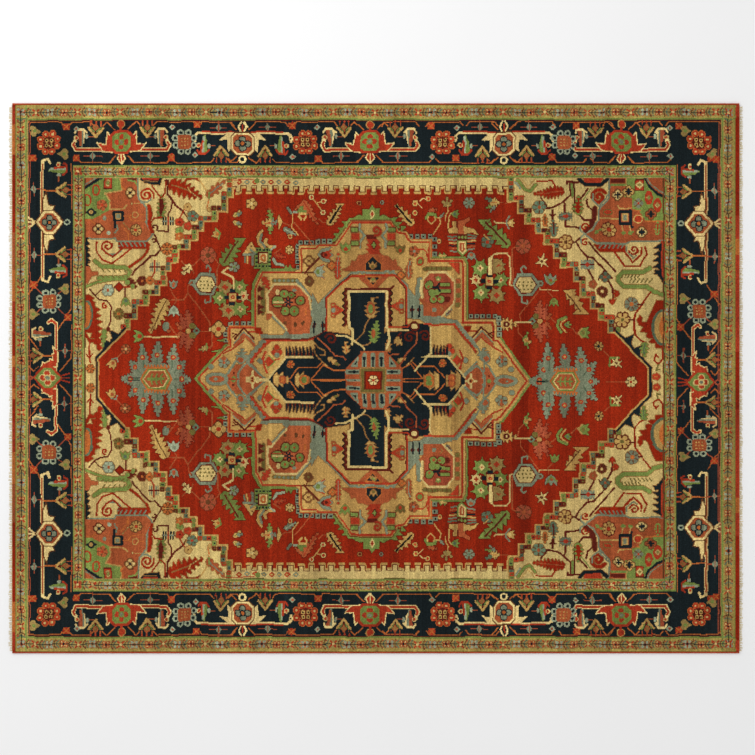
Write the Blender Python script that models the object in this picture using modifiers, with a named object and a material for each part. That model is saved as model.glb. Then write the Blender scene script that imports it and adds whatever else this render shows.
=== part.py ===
"""A hand-knotted wool area rug lying flat, built from the groups of yarn that it is made of.

Metres, +Z up. +X runs along the rug, the way its warps run, and +Y across it.
The origin is on the floor, under the middle of the whole rug with its fringes.

A cotton foundation cloth carries a wool pile. The pile is one layer of cut knots; here it is
divided where the weaver changes from one band of the design to the next. Each long side is
bound over a cord, and at each end the warps leave a narrow plain web as a fringe.
"""

import math

import bpy
import bmesh

# The field and the bands round it, seen from above. "End" bands lie across the two short
# ends, "side" bands along the two long sides. The weaver's west and east guards differ.
FIELD_LENGTH = 2.900
FIELD_WIDTH = 2.004
INNER_GUARD_END = 0.058
INNER_GUARD_SIDE = 0.062
MAIN_BORDER_END = 0.226
MAIN_BORDER_SIDE = 0.228
OUTER_GUARD_WEST = 0.060
OUTER_GUARD_EAST = 0.072
OUTER_GUARD_SIDE = 0.074
END_BAND = 0.018

# Heights
FOUNDATION_THICKNESS = 0.003
PILE_HEIGHT = 0.008

# The woven ends and their fringes
WEB_LENGTH = 0.004
WEB_THICKNESS = 0.0022
FRINGE_LENGTH = 0.012
FRINGE_HEADING = 0.002
FRINGE_THICKNESS = 0.0016
FRINGE_PITCH = 0.0115

# The bound long sides: a round cord inside a wrapped sleeve of wool
SELVEDGE_DIAMETER = 0.010
OVERCAST_WALL = 0.0014

# The design areas of the field
MARGIN_WIDTH = 0.080
SPANDREL_LENGTH = 0.745
SPANDREL_POINT = 0.075
SPANDREL_STEPS = 14
VERTEX_HALF_WIDTH = 0.085
# The medallion reaches as far as the red ground that is left beside and beyond it
GROUND_BESIDE_CREST = 0.102
GROUND_BEYOND_TIP = 0.535
MEDALLION_TIP = 0.260
MEDALLION_CREST = 0.800
MEDALLION_STEPS = 7

# Clearance between pieces that meet, and how many flats stand for a round cord
GAP = 0.0003
ROUND_SIDES = 16

# Worked out from the sizes above
PILE_TOP = FOUNDATION_THICKNESS + PILE_HEIGHT
FIELD_X = FIELD_LENGTH / 2
FIELD_Y = FIELD_WIDTH / 2
INNER_X = FIELD_X + INNER_GUARD_END
INNER_Y = FIELD_Y + INNER_GUARD_SIDE
MAIN_X = INNER_X + MAIN_BORDER_END
MAIN_Y = INNER_Y + MAIN_BORDER_SIDE
PILE_Y = MAIN_Y + OUTER_GUARD_SIDE
WEST_X = MAIN_X + OUTER_GUARD_WEST + END_BAND
EAST_X = MAIN_X + OUTER_GUARD_EAST + END_BAND
MEDALLION_X = FIELD_X - SPANDREL_POINT - GROUND_BEYOND_TIP
MEDALLION_Y = FIELD_Y - MARGIN_WIDTH - GROUND_BESIDE_CREST
# The field's centre sits this far west of the whole rug's middle
FIELD_SHIFT = (WEST_X - EAST_X) / 2

FIBRES = {
    "cotton": ((0.72, 0.64, 0.46), 0.85),
    "madder_wool": ((0.42, 0.05, 0.02), 0.90),
    "navy_wool": ((0.010, 0.025, 0.045), 0.90),
    "khaki_wool": ((0.28, 0.22, 0.09), 0.90),
    "cream_wool": ((0.66, 0.52, 0.27), 0.90),
    "gold_wool": ((0.52, 0.34, 0.11), 0.90),
}


def clear_scene():
    for obj in list(bpy.data.objects):
        bpy.data.objects.remove(obj, do_unlink=True)


def fibre(name):
    """The yarn's plain material, made the first time that it is asked for."""
    material = bpy.data.materials.get(name)
    if material is None:
        colour, roughness = FIBRES[name]
        material = bpy.data.materials.new(name)
        material.use_nodes = True
        shader = material.node_tree.nodes["Principled BSDF"]
        shader.inputs["Base Color"].default_value = (*colour, 1.0)
        shader.inputs["Roughness"].default_value = roughness
        shader.inputs["Metallic"].default_value = 0.0
    return material


def add_piece(name, data, yarn, location):
    """Links one named piece into the rug's collection, with its yarn, at its place."""
    data.materials.append(fibre(yarn))
    piece = bpy.data.objects.new(name, data)
    piece.location = location
    rug.objects.link(piece)
    return piece


def slab(name, yarn, west, east, south, north, bottom, top):
    """A flat rectangular piece that keeps half a gap to its neighbours on every side."""
    mesh = bpy.data.meshes.new(name)
    cube = bmesh.new()
    bmesh.ops.create_cube(cube, size=1.0)
    size = (east - west - GAP, north - south - GAP, top - bottom)
    bmesh.ops.scale(cube, vec=size, verts=cube.verts)
    cube.to_mesh(mesh)
    cube.free()
    middle = ((west + east) / 2 + FIELD_SHIFT, (south + north) / 2, (bottom + top) / 2)
    return add_piece(name, mesh, yarn, middle)


def cut_outline(name, yarn, outline, bottom, top):
    """A flat piece: one face with the outline's corners, extruded. The outline keeps its gaps."""
    mesh = bpy.data.meshes.new(name)
    shape = bmesh.new()
    face = shape.faces.new([shape.verts.new((x, y, 0.0)) for x, y in outline])
    raised = bmesh.ops.extrude_face_region(shape, geom=[face])["geom"]
    upper = [item for item in raised if isinstance(item, bmesh.types.BMVert)]
    bmesh.ops.translate(shape, vec=(0.0, 0.0, top - bottom), verts=upper)
    bmesh.ops.recalc_face_normals(shape, faces=shape.faces)
    shape.to_mesh(mesh)
    shape.free()
    return add_piece(name, mesh, yarn, (FIELD_SHIFT, 0.0, bottom))


def staircase(start, end, steps):
    """The corners of a stepped line in the weave: across first, then along, at each step."""
    (x0, y0), (x1, y1) = start, end
    corners = [start]
    for step in range(1, steps + 1):
        x = x0 + (x1 - x0) * step / steps
        corners.append((x, corners[-1][1]))
        corners.append((x, y0 + (y1 - y0) * step / steps))
    return corners


def moved(points, dx, dy):
    return [(x + dx, y + dy) for x, y in points]


def turned(points, side_x, side_y):
    """The points of the north-east quarter, laid into the quarter with these signs."""
    return [(x * side_x, y * side_y) for x, y in points]


def spandrel_stairs():
    """The stepped edge of a corner in the north-east quarter, from its margin to its point."""
    margin_end = (FIELD_X - SPANDREL_LENGTH, FIELD_Y - MARGIN_WIDTH)
    point = (FIELD_X - SPANDREL_POINT, VERTEX_HALF_WIDTH)
    return staircase(margin_end, point, SPANDREL_STEPS)


def medallion_stairs():
    """The medallion's stepped shoulder in the north-east quarter, from its crest to its tip."""
    crest = (MEDALLION_CREST / 2, MEDALLION_Y)
    tip = (MEDALLION_X, MEDALLION_TIP / 2)
    return staircase(crest, tip, MEDALLION_STEPS)


def lay_foundation():
    """The plain-woven cotton cloth, and the narrow web that locks its last knots at each end."""
    slab("foundation_cloth", "cotton", -WEST_X, EAST_X, -PILE_Y, PILE_Y, 0.0,
         FOUNDATION_THICKNESS)
    slab("web_end_west", "cotton", -WEST_X - WEB_LENGTH, -WEST_X, -PILE_Y, PILE_Y, 0.0,
         WEB_THICKNESS)
    slab("web_end_east", "cotton", EAST_X, EAST_X + WEB_LENGTH, -PILE_Y, PILE_Y, 0.0,
         WEB_THICKNESS)


def tie_fringe(name, root_x, outward):
    """A comb of warp bunches: they share a heading at the web and taper to their free ends."""
    bunches = max(2, round(2 * PILE_Y / FRINGE_PITCH))
    pitch = (2 * PILE_Y - GAP) / bunches
    start = root_x + outward * GAP / 2
    between = root_x + outward * FRINGE_HEADING
    tip = root_x + outward * FRINGE_LENGTH
    first = -PILE_Y + GAP / 2
    outline = [(start, first)]
    for bunch in range(bunches):
        outline.append((between, first + pitch * bunch))
        outline.append((tip, first + pitch * (bunch + 0.5)))
    outline.append((between, first + pitch * bunches))
    outline.append((start, first + pitch * bunches))
    cut_outline(name, "cotton", outline, 0.0, FRINGE_THICKNESS)


def bind_side(side, sign):
    """One long side: a cord of doubled warps inside the wool that is wrapped round it."""
    length = WEST_X + EAST_X - GAP
    radius = SELVEDGE_DIAMETER / 2
    centre = ((EAST_X - WEST_X) / 2 + FIELD_SHIFT, sign * (PILE_Y + GAP / 2 + radius), radius)

    def round_bar(bar_radius, capped):
        mesh = bpy.data.meshes.new("selvedge")
        bar = bmesh.new()
        bmesh.ops.create_cone(bar, cap_ends=capped, segments=ROUND_SIDES, radius1=bar_radius,
                              radius2=bar_radius, depth=length)
        bar.to_mesh(mesh)
        bar.free()
        mesh.shade_smooth()
        mesh.set_sharp_from_angle(angle=math.radians(40))
        return mesh

    along_x = (0.0, math.pi / 2, 0.0)
    cord_radius = radius - OVERCAST_WALL - GAP
    cord = add_piece(f"selvedge_cord_{side}", round_bar(cord_radius, True), "cotton", centre)
    cord.rotation_euler = along_x

    wrap_mesh = round_bar(radius, False)
    wrap = add_piece(f"selvedge_overcast_{side}", wrap_mesh, "madder_wool", centre)
    wrap.rotation_euler = along_x
    wall = wrap.modifiers.new("wall", "SOLIDIFY")
    wall.thickness = OVERCAST_WALL
    wall.offset = -1.0


def pile_slab(name, yarn, west, east, south, north):
    slab(name, yarn, west, east, south, north, FOUNDATION_THICKNESS + GAP, PILE_TOP)


def frame_bands(name, yarn, outer, inner):
    """Four strips round the field. The side strips run the whole length, as bands do when woven.

    outer and inner are each (west x, east x, y), as distances from the field's centre.
    """
    west, east, side = outer
    west_in, east_in, side_in = inner
    pile_slab(f"{name}_north", yarn, -west, east, side_in, side)
    pile_slab(f"{name}_south", yarn, -west, east, -side, -side_in)
    pile_slab(f"{name}_west", yarn, -west, -west_in, -side_in, side_in)
    pile_slab(f"{name}_east", yarn, east_in, east, -side_in, side_in)


def knot_bands():
    """The red end bands, the two guards and the main border between them."""
    pile_slab("end_band_pile_west", "madder_wool", -WEST_X, -WEST_X + END_BAND, -PILE_Y, PILE_Y)
    pile_slab("end_band_pile_east", "madder_wool", EAST_X - END_BAND, EAST_X, -PILE_Y, PILE_Y)
    guard_edge = (WEST_X - END_BAND, EAST_X - END_BAND, PILE_Y)
    main_edge = (MAIN_X, MAIN_X, MAIN_Y)
    inner_edge = (INNER_X, INNER_X, INNER_Y)
    field_edge = (FIELD_X, FIELD_X, FIELD_Y)
    frame_bands("outer_guard_pile", "khaki_wool", guard_edge, main_edge)
    frame_bands("main_border_pile", "navy_wool", main_edge, inner_edge)
    frame_bands("inner_guard_pile", "khaki_wool", inner_edge, field_edge)


def pile_outline(name, yarn, outline):
    cut_outline(name, yarn, outline, FOUNDATION_THICKNESS + GAP, PILE_TOP)


def knot_spandrel(name, side_x, side_y):
    """One cream corner of the field, with a stepped edge towards the red ground."""
    half = GAP / 2
    stairs = moved(spandrel_stairs(), half, half)
    outline = [
        (FIELD_X - half, half),
        (FIELD_X - half, FIELD_Y - half),
        (FIELD_X - SPANDREL_LENGTH + half, FIELD_Y - half),
        *stairs,
        (FIELD_X - SPANDREL_POINT + half, half),
    ]
    pile_outline(name, "cream_wool", turned(outline, side_x, side_y))


def knot_ground(name, side_x):
    """Half of the red ground: it fills what the corners, the margins and the medallion leave."""
    half = GAP / 2
    outer = moved(spandrel_stairs(), -half, -half)
    inner = moved(medallion_stairs(), half, half)
    middle = [(half, FIELD_Y - MARGIN_WIDTH - half)]
    north = middle + outer
    south = [(x, -y) for x, y in reversed(north)]
    crest = [(half, MEDALLION_Y + half)]
    shoulder = crest + inner
    lower = [(x, -y) for x, y in shoulder]
    outline = north + south + lower + list(reversed(shoulder))
    pile_outline(name, "madder_wool", turned(outline, side_x, 1))


def knot_medallion():
    """The large stepped medallion in the middle of the field."""
    half = GAP / 2
    quarter = moved(medallion_stairs(), -half, -half)
    east = quarter + [(x, -y) for x, y in reversed(quarter)]
    west = [(-x, y) for x, y in reversed(east)]
    pile_outline("medallion_pile", "gold_wool", east + west)


def knot_field():
    for north_south, side_y in (("n", 1), ("s", -1)):
        for west_east, side_x in (("w", -1), ("e", 1)):
            knot_spandrel(f"spandrel_pile_{north_south}{west_east}", side_x, side_y)
    reach = FIELD_X - SPANDREL_LENGTH
    pile_slab("margin_pile_north", "cream_wool", -reach, reach, FIELD_Y - MARGIN_WIDTH, FIELD_Y)
    pile_slab("margin_pile_south", "cream_wool", -reach, reach, -FIELD_Y, -FIELD_Y + MARGIN_WIDTH)
    knot_ground("ground_pile_west", -1)
    knot_ground("ground_pile_east", 1)
    knot_medallion()


clear_scene()
rug = bpy.data.collections.new("area_rug")
bpy.context.scene.collection.children.link(rug)
lay_foundation()
tie_fringe("fringe_west", -WEST_X - WEB_LENGTH, -1)
tie_fringe("fringe_east", EAST_X + WEB_LENGTH, 1)
bind_side("north", 1)
bind_side("south", -1)
knot_bands()
knot_field()
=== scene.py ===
"""A large hand-knotted wool rug: one face for each knot of its pile, on a cotton foundation."""
import math

import bmesh
import bpy
import numpy as np
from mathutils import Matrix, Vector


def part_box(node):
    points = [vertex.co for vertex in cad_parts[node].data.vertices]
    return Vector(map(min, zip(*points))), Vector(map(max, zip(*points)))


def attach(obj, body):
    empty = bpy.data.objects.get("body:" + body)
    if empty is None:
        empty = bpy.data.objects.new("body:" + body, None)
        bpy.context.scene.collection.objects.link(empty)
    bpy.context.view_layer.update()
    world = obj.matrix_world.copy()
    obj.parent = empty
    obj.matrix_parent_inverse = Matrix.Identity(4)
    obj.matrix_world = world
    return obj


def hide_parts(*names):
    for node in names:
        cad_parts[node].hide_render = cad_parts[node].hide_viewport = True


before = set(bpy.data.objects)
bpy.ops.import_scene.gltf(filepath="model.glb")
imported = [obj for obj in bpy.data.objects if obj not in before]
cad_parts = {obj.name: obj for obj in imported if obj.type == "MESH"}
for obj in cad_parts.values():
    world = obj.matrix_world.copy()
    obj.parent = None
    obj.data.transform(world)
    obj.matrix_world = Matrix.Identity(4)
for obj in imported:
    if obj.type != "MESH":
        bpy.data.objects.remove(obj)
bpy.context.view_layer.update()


# Red end bands: the last rows of pile at each short end, tied in plain madder wool that was dyed in
# small lots, so that it runs from orange to brick. The weaver reads every knot of the rug from a half
# cartoon on squared paper, and turns the paper over at the middle for the second half.
CM = 0.01
KNOT = 0.4
FOLD_ROOM = 4.0
PILE_FOOT = 0.0033
NAP = 0.00035
DROOP = 0.0006
YARNS = {"madder": (132, 33, 10), "brick": (152, 50, 27), "coral": (147, 73, 40), "rose": (142, 66, 42),
    "orange": (166, 90, 41), "gold": (169, 133, 73), "cream": (189, 164, 103), "ivory": (208, 182, 120),
    "khaki": (142, 118, 66), "moss": (150, 130, 66), "straw": (150, 127, 74), "olive": (102, 90, 43),
    "green": (106, 120, 57), "teal": (82, 95, 72), "slate": (110, 115, 91), "sky": (136, 142, 114),
    "navy": (20, 28, 30), "deep_madder": (88, 24, 11), "tan": (128, 88, 46), "black": (25, 20, 15),
    "maroon": (84, 27, 16), "brown": (90, 54, 28), }
NAMES = list(YARNS)
rng = np.random.default_rng(12)

west_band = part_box("end_band_pile_west")
east_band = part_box("end_band_pile_east")
WEST = west_band[0][0] / CM
EAST = east_band[1][0] / CM
SIDE = west_band[1][1] / CM
PILE_TOP = west_band[1][2]
COLUMNS = round((EAST - WEST) / KNOT)
ROWS = 2 * round(SIDE / KNOT)
HALF_ROWS = math.ceil((SIDE + FOLD_ROOM) / KNOT)
xs = WEST + (np.arange(COLUMNS) + 0.5) * (EAST - WEST) / COLUMNS
ys = -SIDE + (np.arange(ROWS) + 0.5) * 2 * SIDE / ROWS
vs = -FOLD_ROOM + (np.arange(HALF_ROWS) + 0.5) * KNOT
cartoon = np.full((HALF_ROWS, COLUMNS), NAMES.index("madder"), np.uint8)
areas = np.full((HALF_ROWS, COLUMNS), "ground", "U12")
stems = np.zeros((HALF_ROWS, COLUMNS), bool)


class Stencil:
    """Draws on the half cartoon in centimetres, from its own place, mirrored or tipped on its side."""

    def __init__(self, x=0.0, v=0.0, along=1, up=1, tipped=False):
        self.x, self.v, self.along, self.up, self.tipped = x, v, along, up, tipped

    def placed(self, points):
        """Each point's x and v on the cartoon."""
        spots = np.array(points, float)
        if self.tipped:
            spots = spots[:, ::-1]
        return spots[:, 0] * self.along + self.x, spots[:, 1] * self.up + self.v

    def window(self, west, east, low, high):
        """The rows and columns of the cartoon between these limits, with their x and v."""
        left, right = np.searchsorted(xs, (west, east))
        bottom, top = np.searchsorted(vs, (low, high))
        spot = (slice(bottom, top), slice(left, right))
        return spot, xs[None, left:right], vs[bottom:top, None]

    def colour(self, spot, chosen, yarn, area, thin=False):
        cartoon[spot][chosen] = NAMES.index(yarn)
        stems[spot][chosen] = thin
        if area:
            areas[spot][chosen] = area

    def patch(self, yarn, *corners, area=None):
        """A filled shape with these corners."""
        px, pv = self.placed(corners)
        spot, x, v = self.window(px.min(), px.max(), pv.min(), pv.max())
        inside = np.zeros((v.shape[0], x.shape[1]), bool)
        for x0, v0, x1, v1 in zip(px, pv, np.roll(px, -1), np.roll(pv, -1)):
            if v0 != v1:
                crossing = (x1 - x0) * (v - v0) / (v1 - v0) + x0
                inside ^= ((v0 > v) != (v1 > v)) & (x < crossing)
        self.colour(spot, inside, yarn, area)

    def line(self, yarn, width, *stops):
        """A line through these points, never thinner than one knot."""
        px, pv = self.placed(stops)
        half = max(width / 2, 0.7 * KNOT)
        for x0, v0, x1, v1 in zip(px, pv, px[1:], pv[1:]):
            spot, x, v = self.window(min(x0, x1) - half, max(x0, x1) + half, min(v0, v1) - half,
                max(v0, v1) + half)
            run = max((x1 - x0) ** 2 + (v1 - v0) ** 2, 1e-9)
            share = np.clip(((x - x0) * (x1 - x0) + (v - v0) * (v1 - v0)) / run, 0, 1)
            away = np.hypot(x - x0 - share * (x1 - x0), v - v0 - share * (v1 - v0))
            self.colour(spot, away <= half, yarn, None, width < 1.1)

    def edged(self, yarn, edge, width, *corners):
        """A filled shape with an outline."""
        self.patch(yarn, *corners)
        self.line(edge, width, *corners, corners[0])

    def disc(self, yarn, x0, v0, radius, high=None):
        """A filled round or oval."""
        (cx,), (cv,) = self.placed([(x0, v0)])
        wide, tall = radius, high or radius
        if self.tipped:
            wide, tall = tall, wide
        spot, x, v = self.window(cx - wide, cx + wide, cv - tall, cv + tall)
        self.colour(spot, ((x - cx) / wide) ** 2 + ((v - cv) / tall) ** 2 <= 1, yarn, None)

    def ring(self, yarn, fill, x0, v0, radius, width=0.6, high=None):
        """A round in one yarn with a heart in another."""
        self.disc(yarn, x0, v0, radius, high)
        self.disc(fill, x0, v0, radius - width, (high or radius) - width)

    def octagon(self, yarn, x0, v0, wide, high, cut):
        """A block with its corners cut."""
        self.patch(yarn, (x0 - wide, v0 - high + cut), (x0 - wide + cut, v0 - high),
            (x0 + wide - cut, v0 - high), (x0 + wide, v0 - high + cut), (x0 + wide, v0 + high - cut),
            (x0 + wide - cut, v0 + high), (x0 - wide + cut, v0 + high), (x0 - wide, v0 + high - cut))

    def diamond(self, yarn, x0, v0, wide, high=None):
        high = high or wide
        self.patch(yarn, (x0 - wide, v0), (x0, v0 - high), (x0 + wide, v0), (x0, v0 + high))

    def flower(self, petal, heart, x0, v0, reach, edge=None, count=4, turn=0.0):
        """Round petals about a small heart, with an outline round them if edge is given."""
        spots = [turn + math.tau * k / count for k in range(count)]
        size = min(reach * 0.52, reach * 2.4 / count)
        for grow, yarn in ((0.45, edge), (0.0, petal)):
            if yarn:
                for spot in spots:
                    self.disc(yarn, x0 + 0.62 * reach * math.cos(spot), v0 + 0.62 * reach * math.sin(spot),
                        size + grow)
        if reach > 1.9:
            for spot in spots:
                gap = spot + math.pi / count
                self.line(edge or "brown", 0.3, (x0 + 0.5 * reach * math.cos(gap),
                    v0 + 0.5 * reach * math.sin(gap)), (x0 + 0.95 * reach * math.cos(gap),
                    v0 + 0.95 * reach * math.sin(gap)))
        self.disc(heart, x0, v0, max(0.28 * reach, 0.5))

    def leaf(self, yarn, spine, x0, v0, x1, v1, width, teeth=5, notch=0.45):
        """A saw-edged leaf from its stalk to its tip, with a spine."""
        long = math.hypot(x1 - x0, v1 - v0)
        ux, uv = (x1 - x0) / long, (v1 - v0) / long
        upper, lower = [], []
        for k in range(teeth):
            share = (k + 0.5) / teeth
            swell = width / 2 * min(0.6 + 1.6 * share, 1.6 * (1 - share) + 0.15, 1)
            for share, out in ((k / teeth, notch), ((k + 0.8) / teeth, 1.1)):
                cx, cv = x0 + ux * long * share, v0 + uv * long * share
                upper.append((cx - uv * swell * out, cv + ux * swell * out))
                lower.append((cx + uv * swell * out, cv - ux * swell * out))
        self.patch(yarn, (x0, v0), *upper, (x1, v1), *lower[::-1])
        if spine:
            self.line(spine, 0.5, (x0 + ux, v0 + uv), (x1 - 1.5 * ux, v1 - 1.5 * uv))

    def tulip(self, petal, heart, x0, v0, size, turn=90):
        """A bud of three petals on a cup, facing the way of turn, in degrees."""
        ux, uv = math.cos(math.radians(turn)), math.sin(math.radians(turn))

        def spot(out, across):
            return x0 + (out * ux - across * uv) * size, v0 + (out * uv + across * ux) * size

        self.patch(petal, spot(-0.8, 0), spot(-0.3, 0.7), spot(1, 1), spot(0.5, 0.4), spot(1.1, 0),
            spot(0.5, -0.4), spot(1, -1), spot(-0.3, -0.7))
        self.disc(heart, *spot(-0.1, 0), 0.35 * size)


def dark_edge(area, ground_yarn, edge_yarn):
    """A single dark knot between each motif and its ground, as weavers set it. Thin stems go without."""
    ground = cartoon == NAMES.index(ground_yarn)
    motif = ~ground & ~stems
    beside = np.zeros_like(motif)
    beside[1:] |= motif[:-1]
    beside[:-1] |= motif[1:]
    beside[:, 1:] |= motif[:, :-1]
    beside[:, :-1] |= motif[:, 1:]
    cartoon[ground & beside & (areas == area)] = NAMES.index(edge_yarn)


def swell(x, y, length, seed):
    """A slow, smooth wander between -1 and 1 over the rug, in centimetres."""
    turns = np.random.default_rng(seed).uniform(0, math.tau, (4, 2))
    total = 0.0
    for k, (angle, phase) in enumerate(turns):
        reach = length * (1.0 + 0.45 * k)
        total = total + np.sin((x * np.cos(angle) + y * np.sin(angle)) * math.tau / reach + phase) / 4
    return total


west_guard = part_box("inner_guard_pile_west")
east_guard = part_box("inner_guard_pile_east")
field_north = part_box("inner_guard_pile_north")[0][1] / CM
FIELD_WEST = west_guard[1][0] / CM
FIELD_EAST = east_guard[0][0] / CM
HAND_DRIFT = 0.3
# Where the motifs of the two end borders came to lie in the second half, and where the cartoon has them
WEST_BORDER_READ = ((-100.2, -77.6, -36.9, 0.2, 100.2), (100.2, 78.0, 38.5, 0.2, 100.2))
EAST_BORDER_READ = ((-100.2, -74.4, -33.4, -2.0, 100.2), (100.2, 77.3, 33.5, -2.0, 100.2))


def field_middle(x):
    """The line on which the field's cartoon is turned over. It crept south as the weaving went on."""
    return -1.02 - 0.0063 * x


def read_cartoon(x, y):
    """The yarn and the area that the weaver reads for the knots at x and y."""
    middle = field_middle(x)
    south = middle + (middle - y) * (field_north - middle) / (field_north + middle)
    v = np.where(y >= middle, y, south)
    v = np.where(x < FIELD_WEST, np.interp(y, *WEST_BORDER_READ), v)
    v = np.where(x > FIELD_EAST, np.interp(y, *EAST_BORDER_READ), v)
    v = np.where(abs(y) > field_north, abs(y), v)
    inside = (x > WEST + 3) & (x < EAST - 3) & (abs(y) < SIDE - 1)
    x_read = x + np.where(inside, HAND_DRIFT * swell(x, y, 13, 5), 0)
    v_read = v + np.where(inside, HAND_DRIFT * swell(x, y, 17, 6), 0)
    column = np.clip(np.searchsorted(xs, x_read), 0, COLUMNS - 1)
    row = np.clip(((v_read + FOLD_ROOM) / KNOT).astype(int), 0, HALF_ROWS - 1)
    plain_row = np.clip(((v + FOLD_ROOM) / KNOT).astype(int), 0, HALF_ROWS - 1)
    plain_column = np.clip(np.searchsorted(xs, x), 0, COLUMNS - 1)
    return cartoon[row, column], areas[plain_row, plain_column]


def linear(colour):
    """A dyer's sample, 0 to 255, as light."""
    share = np.array(colour) / 255
    return np.where(share > 0.04045, ((share + 0.055) / 1.055) ** 2.4, share / 12.92)


dyes = np.array([linear(colour) for colour in YARNS.values()])
LOTS = 90
LOT_WIDTHS = (2.5, 9.0)
LOT_SPREAD = (0.08, 0.10, 0.10)
ROW_SPREAD = 0.06
SKEIN_SPREAD = 0.05
SKEIN_ROWS = 4
KNOT_SPREAD = 0.17
lot_edges = np.cumsum(rng.uniform(*LOT_WIDTHS, LOTS)) + WEST
lots = rng.normal(0, 1, (LOTS + 1, len(NAMES), 1)) * LOT_SPREAD
row_tints = rng.normal(0, ROW_SPREAD, COLUMNS + 2)
skeins = rng.normal(0, SKEIN_SPREAD, COLUMNS // SKEIN_ROWS + 1)
row_tints[1:-1] += skeins.repeat(SKEIN_ROWS)[:COLUMNS]


def dyed(yarn, x, y):
    """Each knot's colour: its yarn, the dye lot of its rows, and its own small difference."""
    lot = np.searchsorted(lot_edges, x + 1.5 * swell(x, y, 60, 9))
    colour = dyes[yarn] * np.exp(lots[lot, yarn])
    slow = 0.14 * swell(x, y, 55, 3) + 0.14 * swell(x, y, 19, 4) + row_tints[np.searchsorted(xs, x)]
    own = rng.normal(0, KNOT_SPREAD, yarn.shape)
    return np.clip(colour * np.exp(slow + own)[..., None], 0, 1)


def lie(x, y):
    """How far the rug stands off the floor where it was rolled, in metres."""
    return DROOP * (swell(x, y, 70, 1) + 0.6 * swell(x, y, 31, 2))


def tie_knots(name, node, chosen, material):
    """One area of pile: a grid with a face for each knot, cut to its outline and closed underneath."""
    rows, columns = np.nonzero(chosen)
    row0, column0 = rows.min(), columns.min()
    high, wide = rows.max() + 1 - row0, columns.max() + 1 - column0
    shape = bmesh.new()
    bmesh.ops.create_grid(shape, x_segments=int(wide), y_segments=int(high), size=0.5, calc_uvs=False)
    kept = chosen[row0:row0 + high, column0:column0 + wide].ravel()
    shape.faces.ensure_lookup_table()
    spare = [face for face, stays in zip(shape.faces, kept) if not stays]
    bmesh.ops.delete(shape, geom=spare, context="FACES")
    rim = [edge for edge in shape.edges if edge.is_boundary]
    walls = bmesh.ops.extrude_edge_only(shape, edges=rim)["geom"]
    sunk = [part for part in walls if isinstance(part, bmesh.types.BMVert)]
    bmesh.ops.translate(shape, verts=sunk, vec=(0, 0, -1))
    foot = [part for part in walls if isinstance(part, bmesh.types.BMEdge) and part.is_boundary]
    bmesh.ops.holes_fill(shape, edges=foot, sides=0)
    mesh = bpy.data.meshes.new(name)
    shape.to_mesh(mesh)
    shape.free()

    spots = np.empty(len(mesh.vertices) * 3, np.float32)
    mesh.vertices.foreach_get("co", spots)
    spots = spots.reshape(-1, 3)
    column = np.rint((spots[:, 0] + 0.5) * wide).astype(int) + column0
    row = np.rint((spots[:, 1] + 0.5) * high).astype(int) + row0
    x = WEST + column * (EAST - WEST) / COLUMNS
    y = -SIDE + row * 2 * SIDE / ROWS
    cut = np.random.default_rng(7).normal(0, 1, (ROWS + 1, COLUMNS + 1))[row, column]
    spots[:, 0] = x * CM
    spots[:, 1] = y * CM
    spots[:, 2] = np.where(spots[:, 2] > -0.5, PILE_TOP + lie(x, y) + NAP * cut, PILE_FOOT)
    mesh.vertices.foreach_set("co", spots.ravel())

    chart = mesh.uv_layers.new(name="OFBake")
    corners = np.empty(len(mesh.loops), np.int32)
    mesh.loops.foreach_get("vertex_index", corners)
    flat = np.stack(((column - column0) / wide, (row - row0) / high), axis=1)[corners]
    chart.data.foreach_set("uv", flat.astype(np.float32).ravel())

    middles = np.empty(len(mesh.polygons) * 3, np.float32)
    mesh.polygons.foreach_get("center", middles)
    middles = middles.reshape(-1, 3) / CM
    yarn, _ = read_cartoon(middles[:, 0], middles[:, 1])
    paint = mesh.attributes.new("dye", "FLOAT_COLOR", "FACE")
    colours = np.ones((len(mesh.polygons), 4), np.float32)
    colours[:, :3] = dyed(yarn, middles[:, 0], middles[:, 1])
    paint.data.foreach_set("color", colours.ravel())
    mesh.materials.append(material)
    mesh.update()
    pile = bpy.data.objects.new(name, mesh)
    bpy.context.collection.objects.link(pile)
    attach(pile, "root")
    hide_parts(node)


class Look:
    """One value in a material. Sums on it add Math nodes, and node adds a node of any other kind."""

    def __init__(self, tree, socket=None):
        self.tree = tree
        self.socket = socket

    def node(self, kind, settings, sockets, output=0):
        made = self.tree.nodes.new(kind)
        for name, value in settings.items():
            if name == "stops":
                for stop, (place, shade) in zip(made.color_ramp.elements, value):
                    stop.position = place
                    stop.color = (shade, shade, shade, 1)
            else:
                setattr(made, name, value)
        for name, value in sockets.items():
            if isinstance(value, Look):
                self.tree.links.new(value.socket, made.inputs[name])
            else:
                made.inputs[name].default_value = value
        return Look(self.tree, made.outputs[output])

    def sum_with(self, operation, first, second):
        return self.node("ShaderNodeMath", {"operation": operation}, {0: first, 1: second})

    def __add__(self, other):
        return self.sum_with("ADD", self, other)

    __radd__ = __add__

    def __mul__(self, other):
        return self.sum_with("MULTIPLY", self, other)

    __rmul__ = __mul__

    def __sub__(self, other):
        return self.sum_with("SUBTRACT", self, other)

    def tinted(self, colour, strength):
        """A colour made darker or lighter by this value."""
        return self.node("ShaderNodeVectorMath", {"operation": "SCALE"}, {0: colour, "Scale": strength})


def start_material(name):
    """A material's own shader, a Look to add nodes with, and the place on the piece."""
    material = bpy.data.materials.new(name)
    material.use_nodes = True
    look = Look(material.node_tree)
    shader = material.node_tree.nodes["Principled BSDF"]
    place = look.node("ShaderNodeTexCoord", {}, {}, "Object")
    return material, look, shader, place


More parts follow.
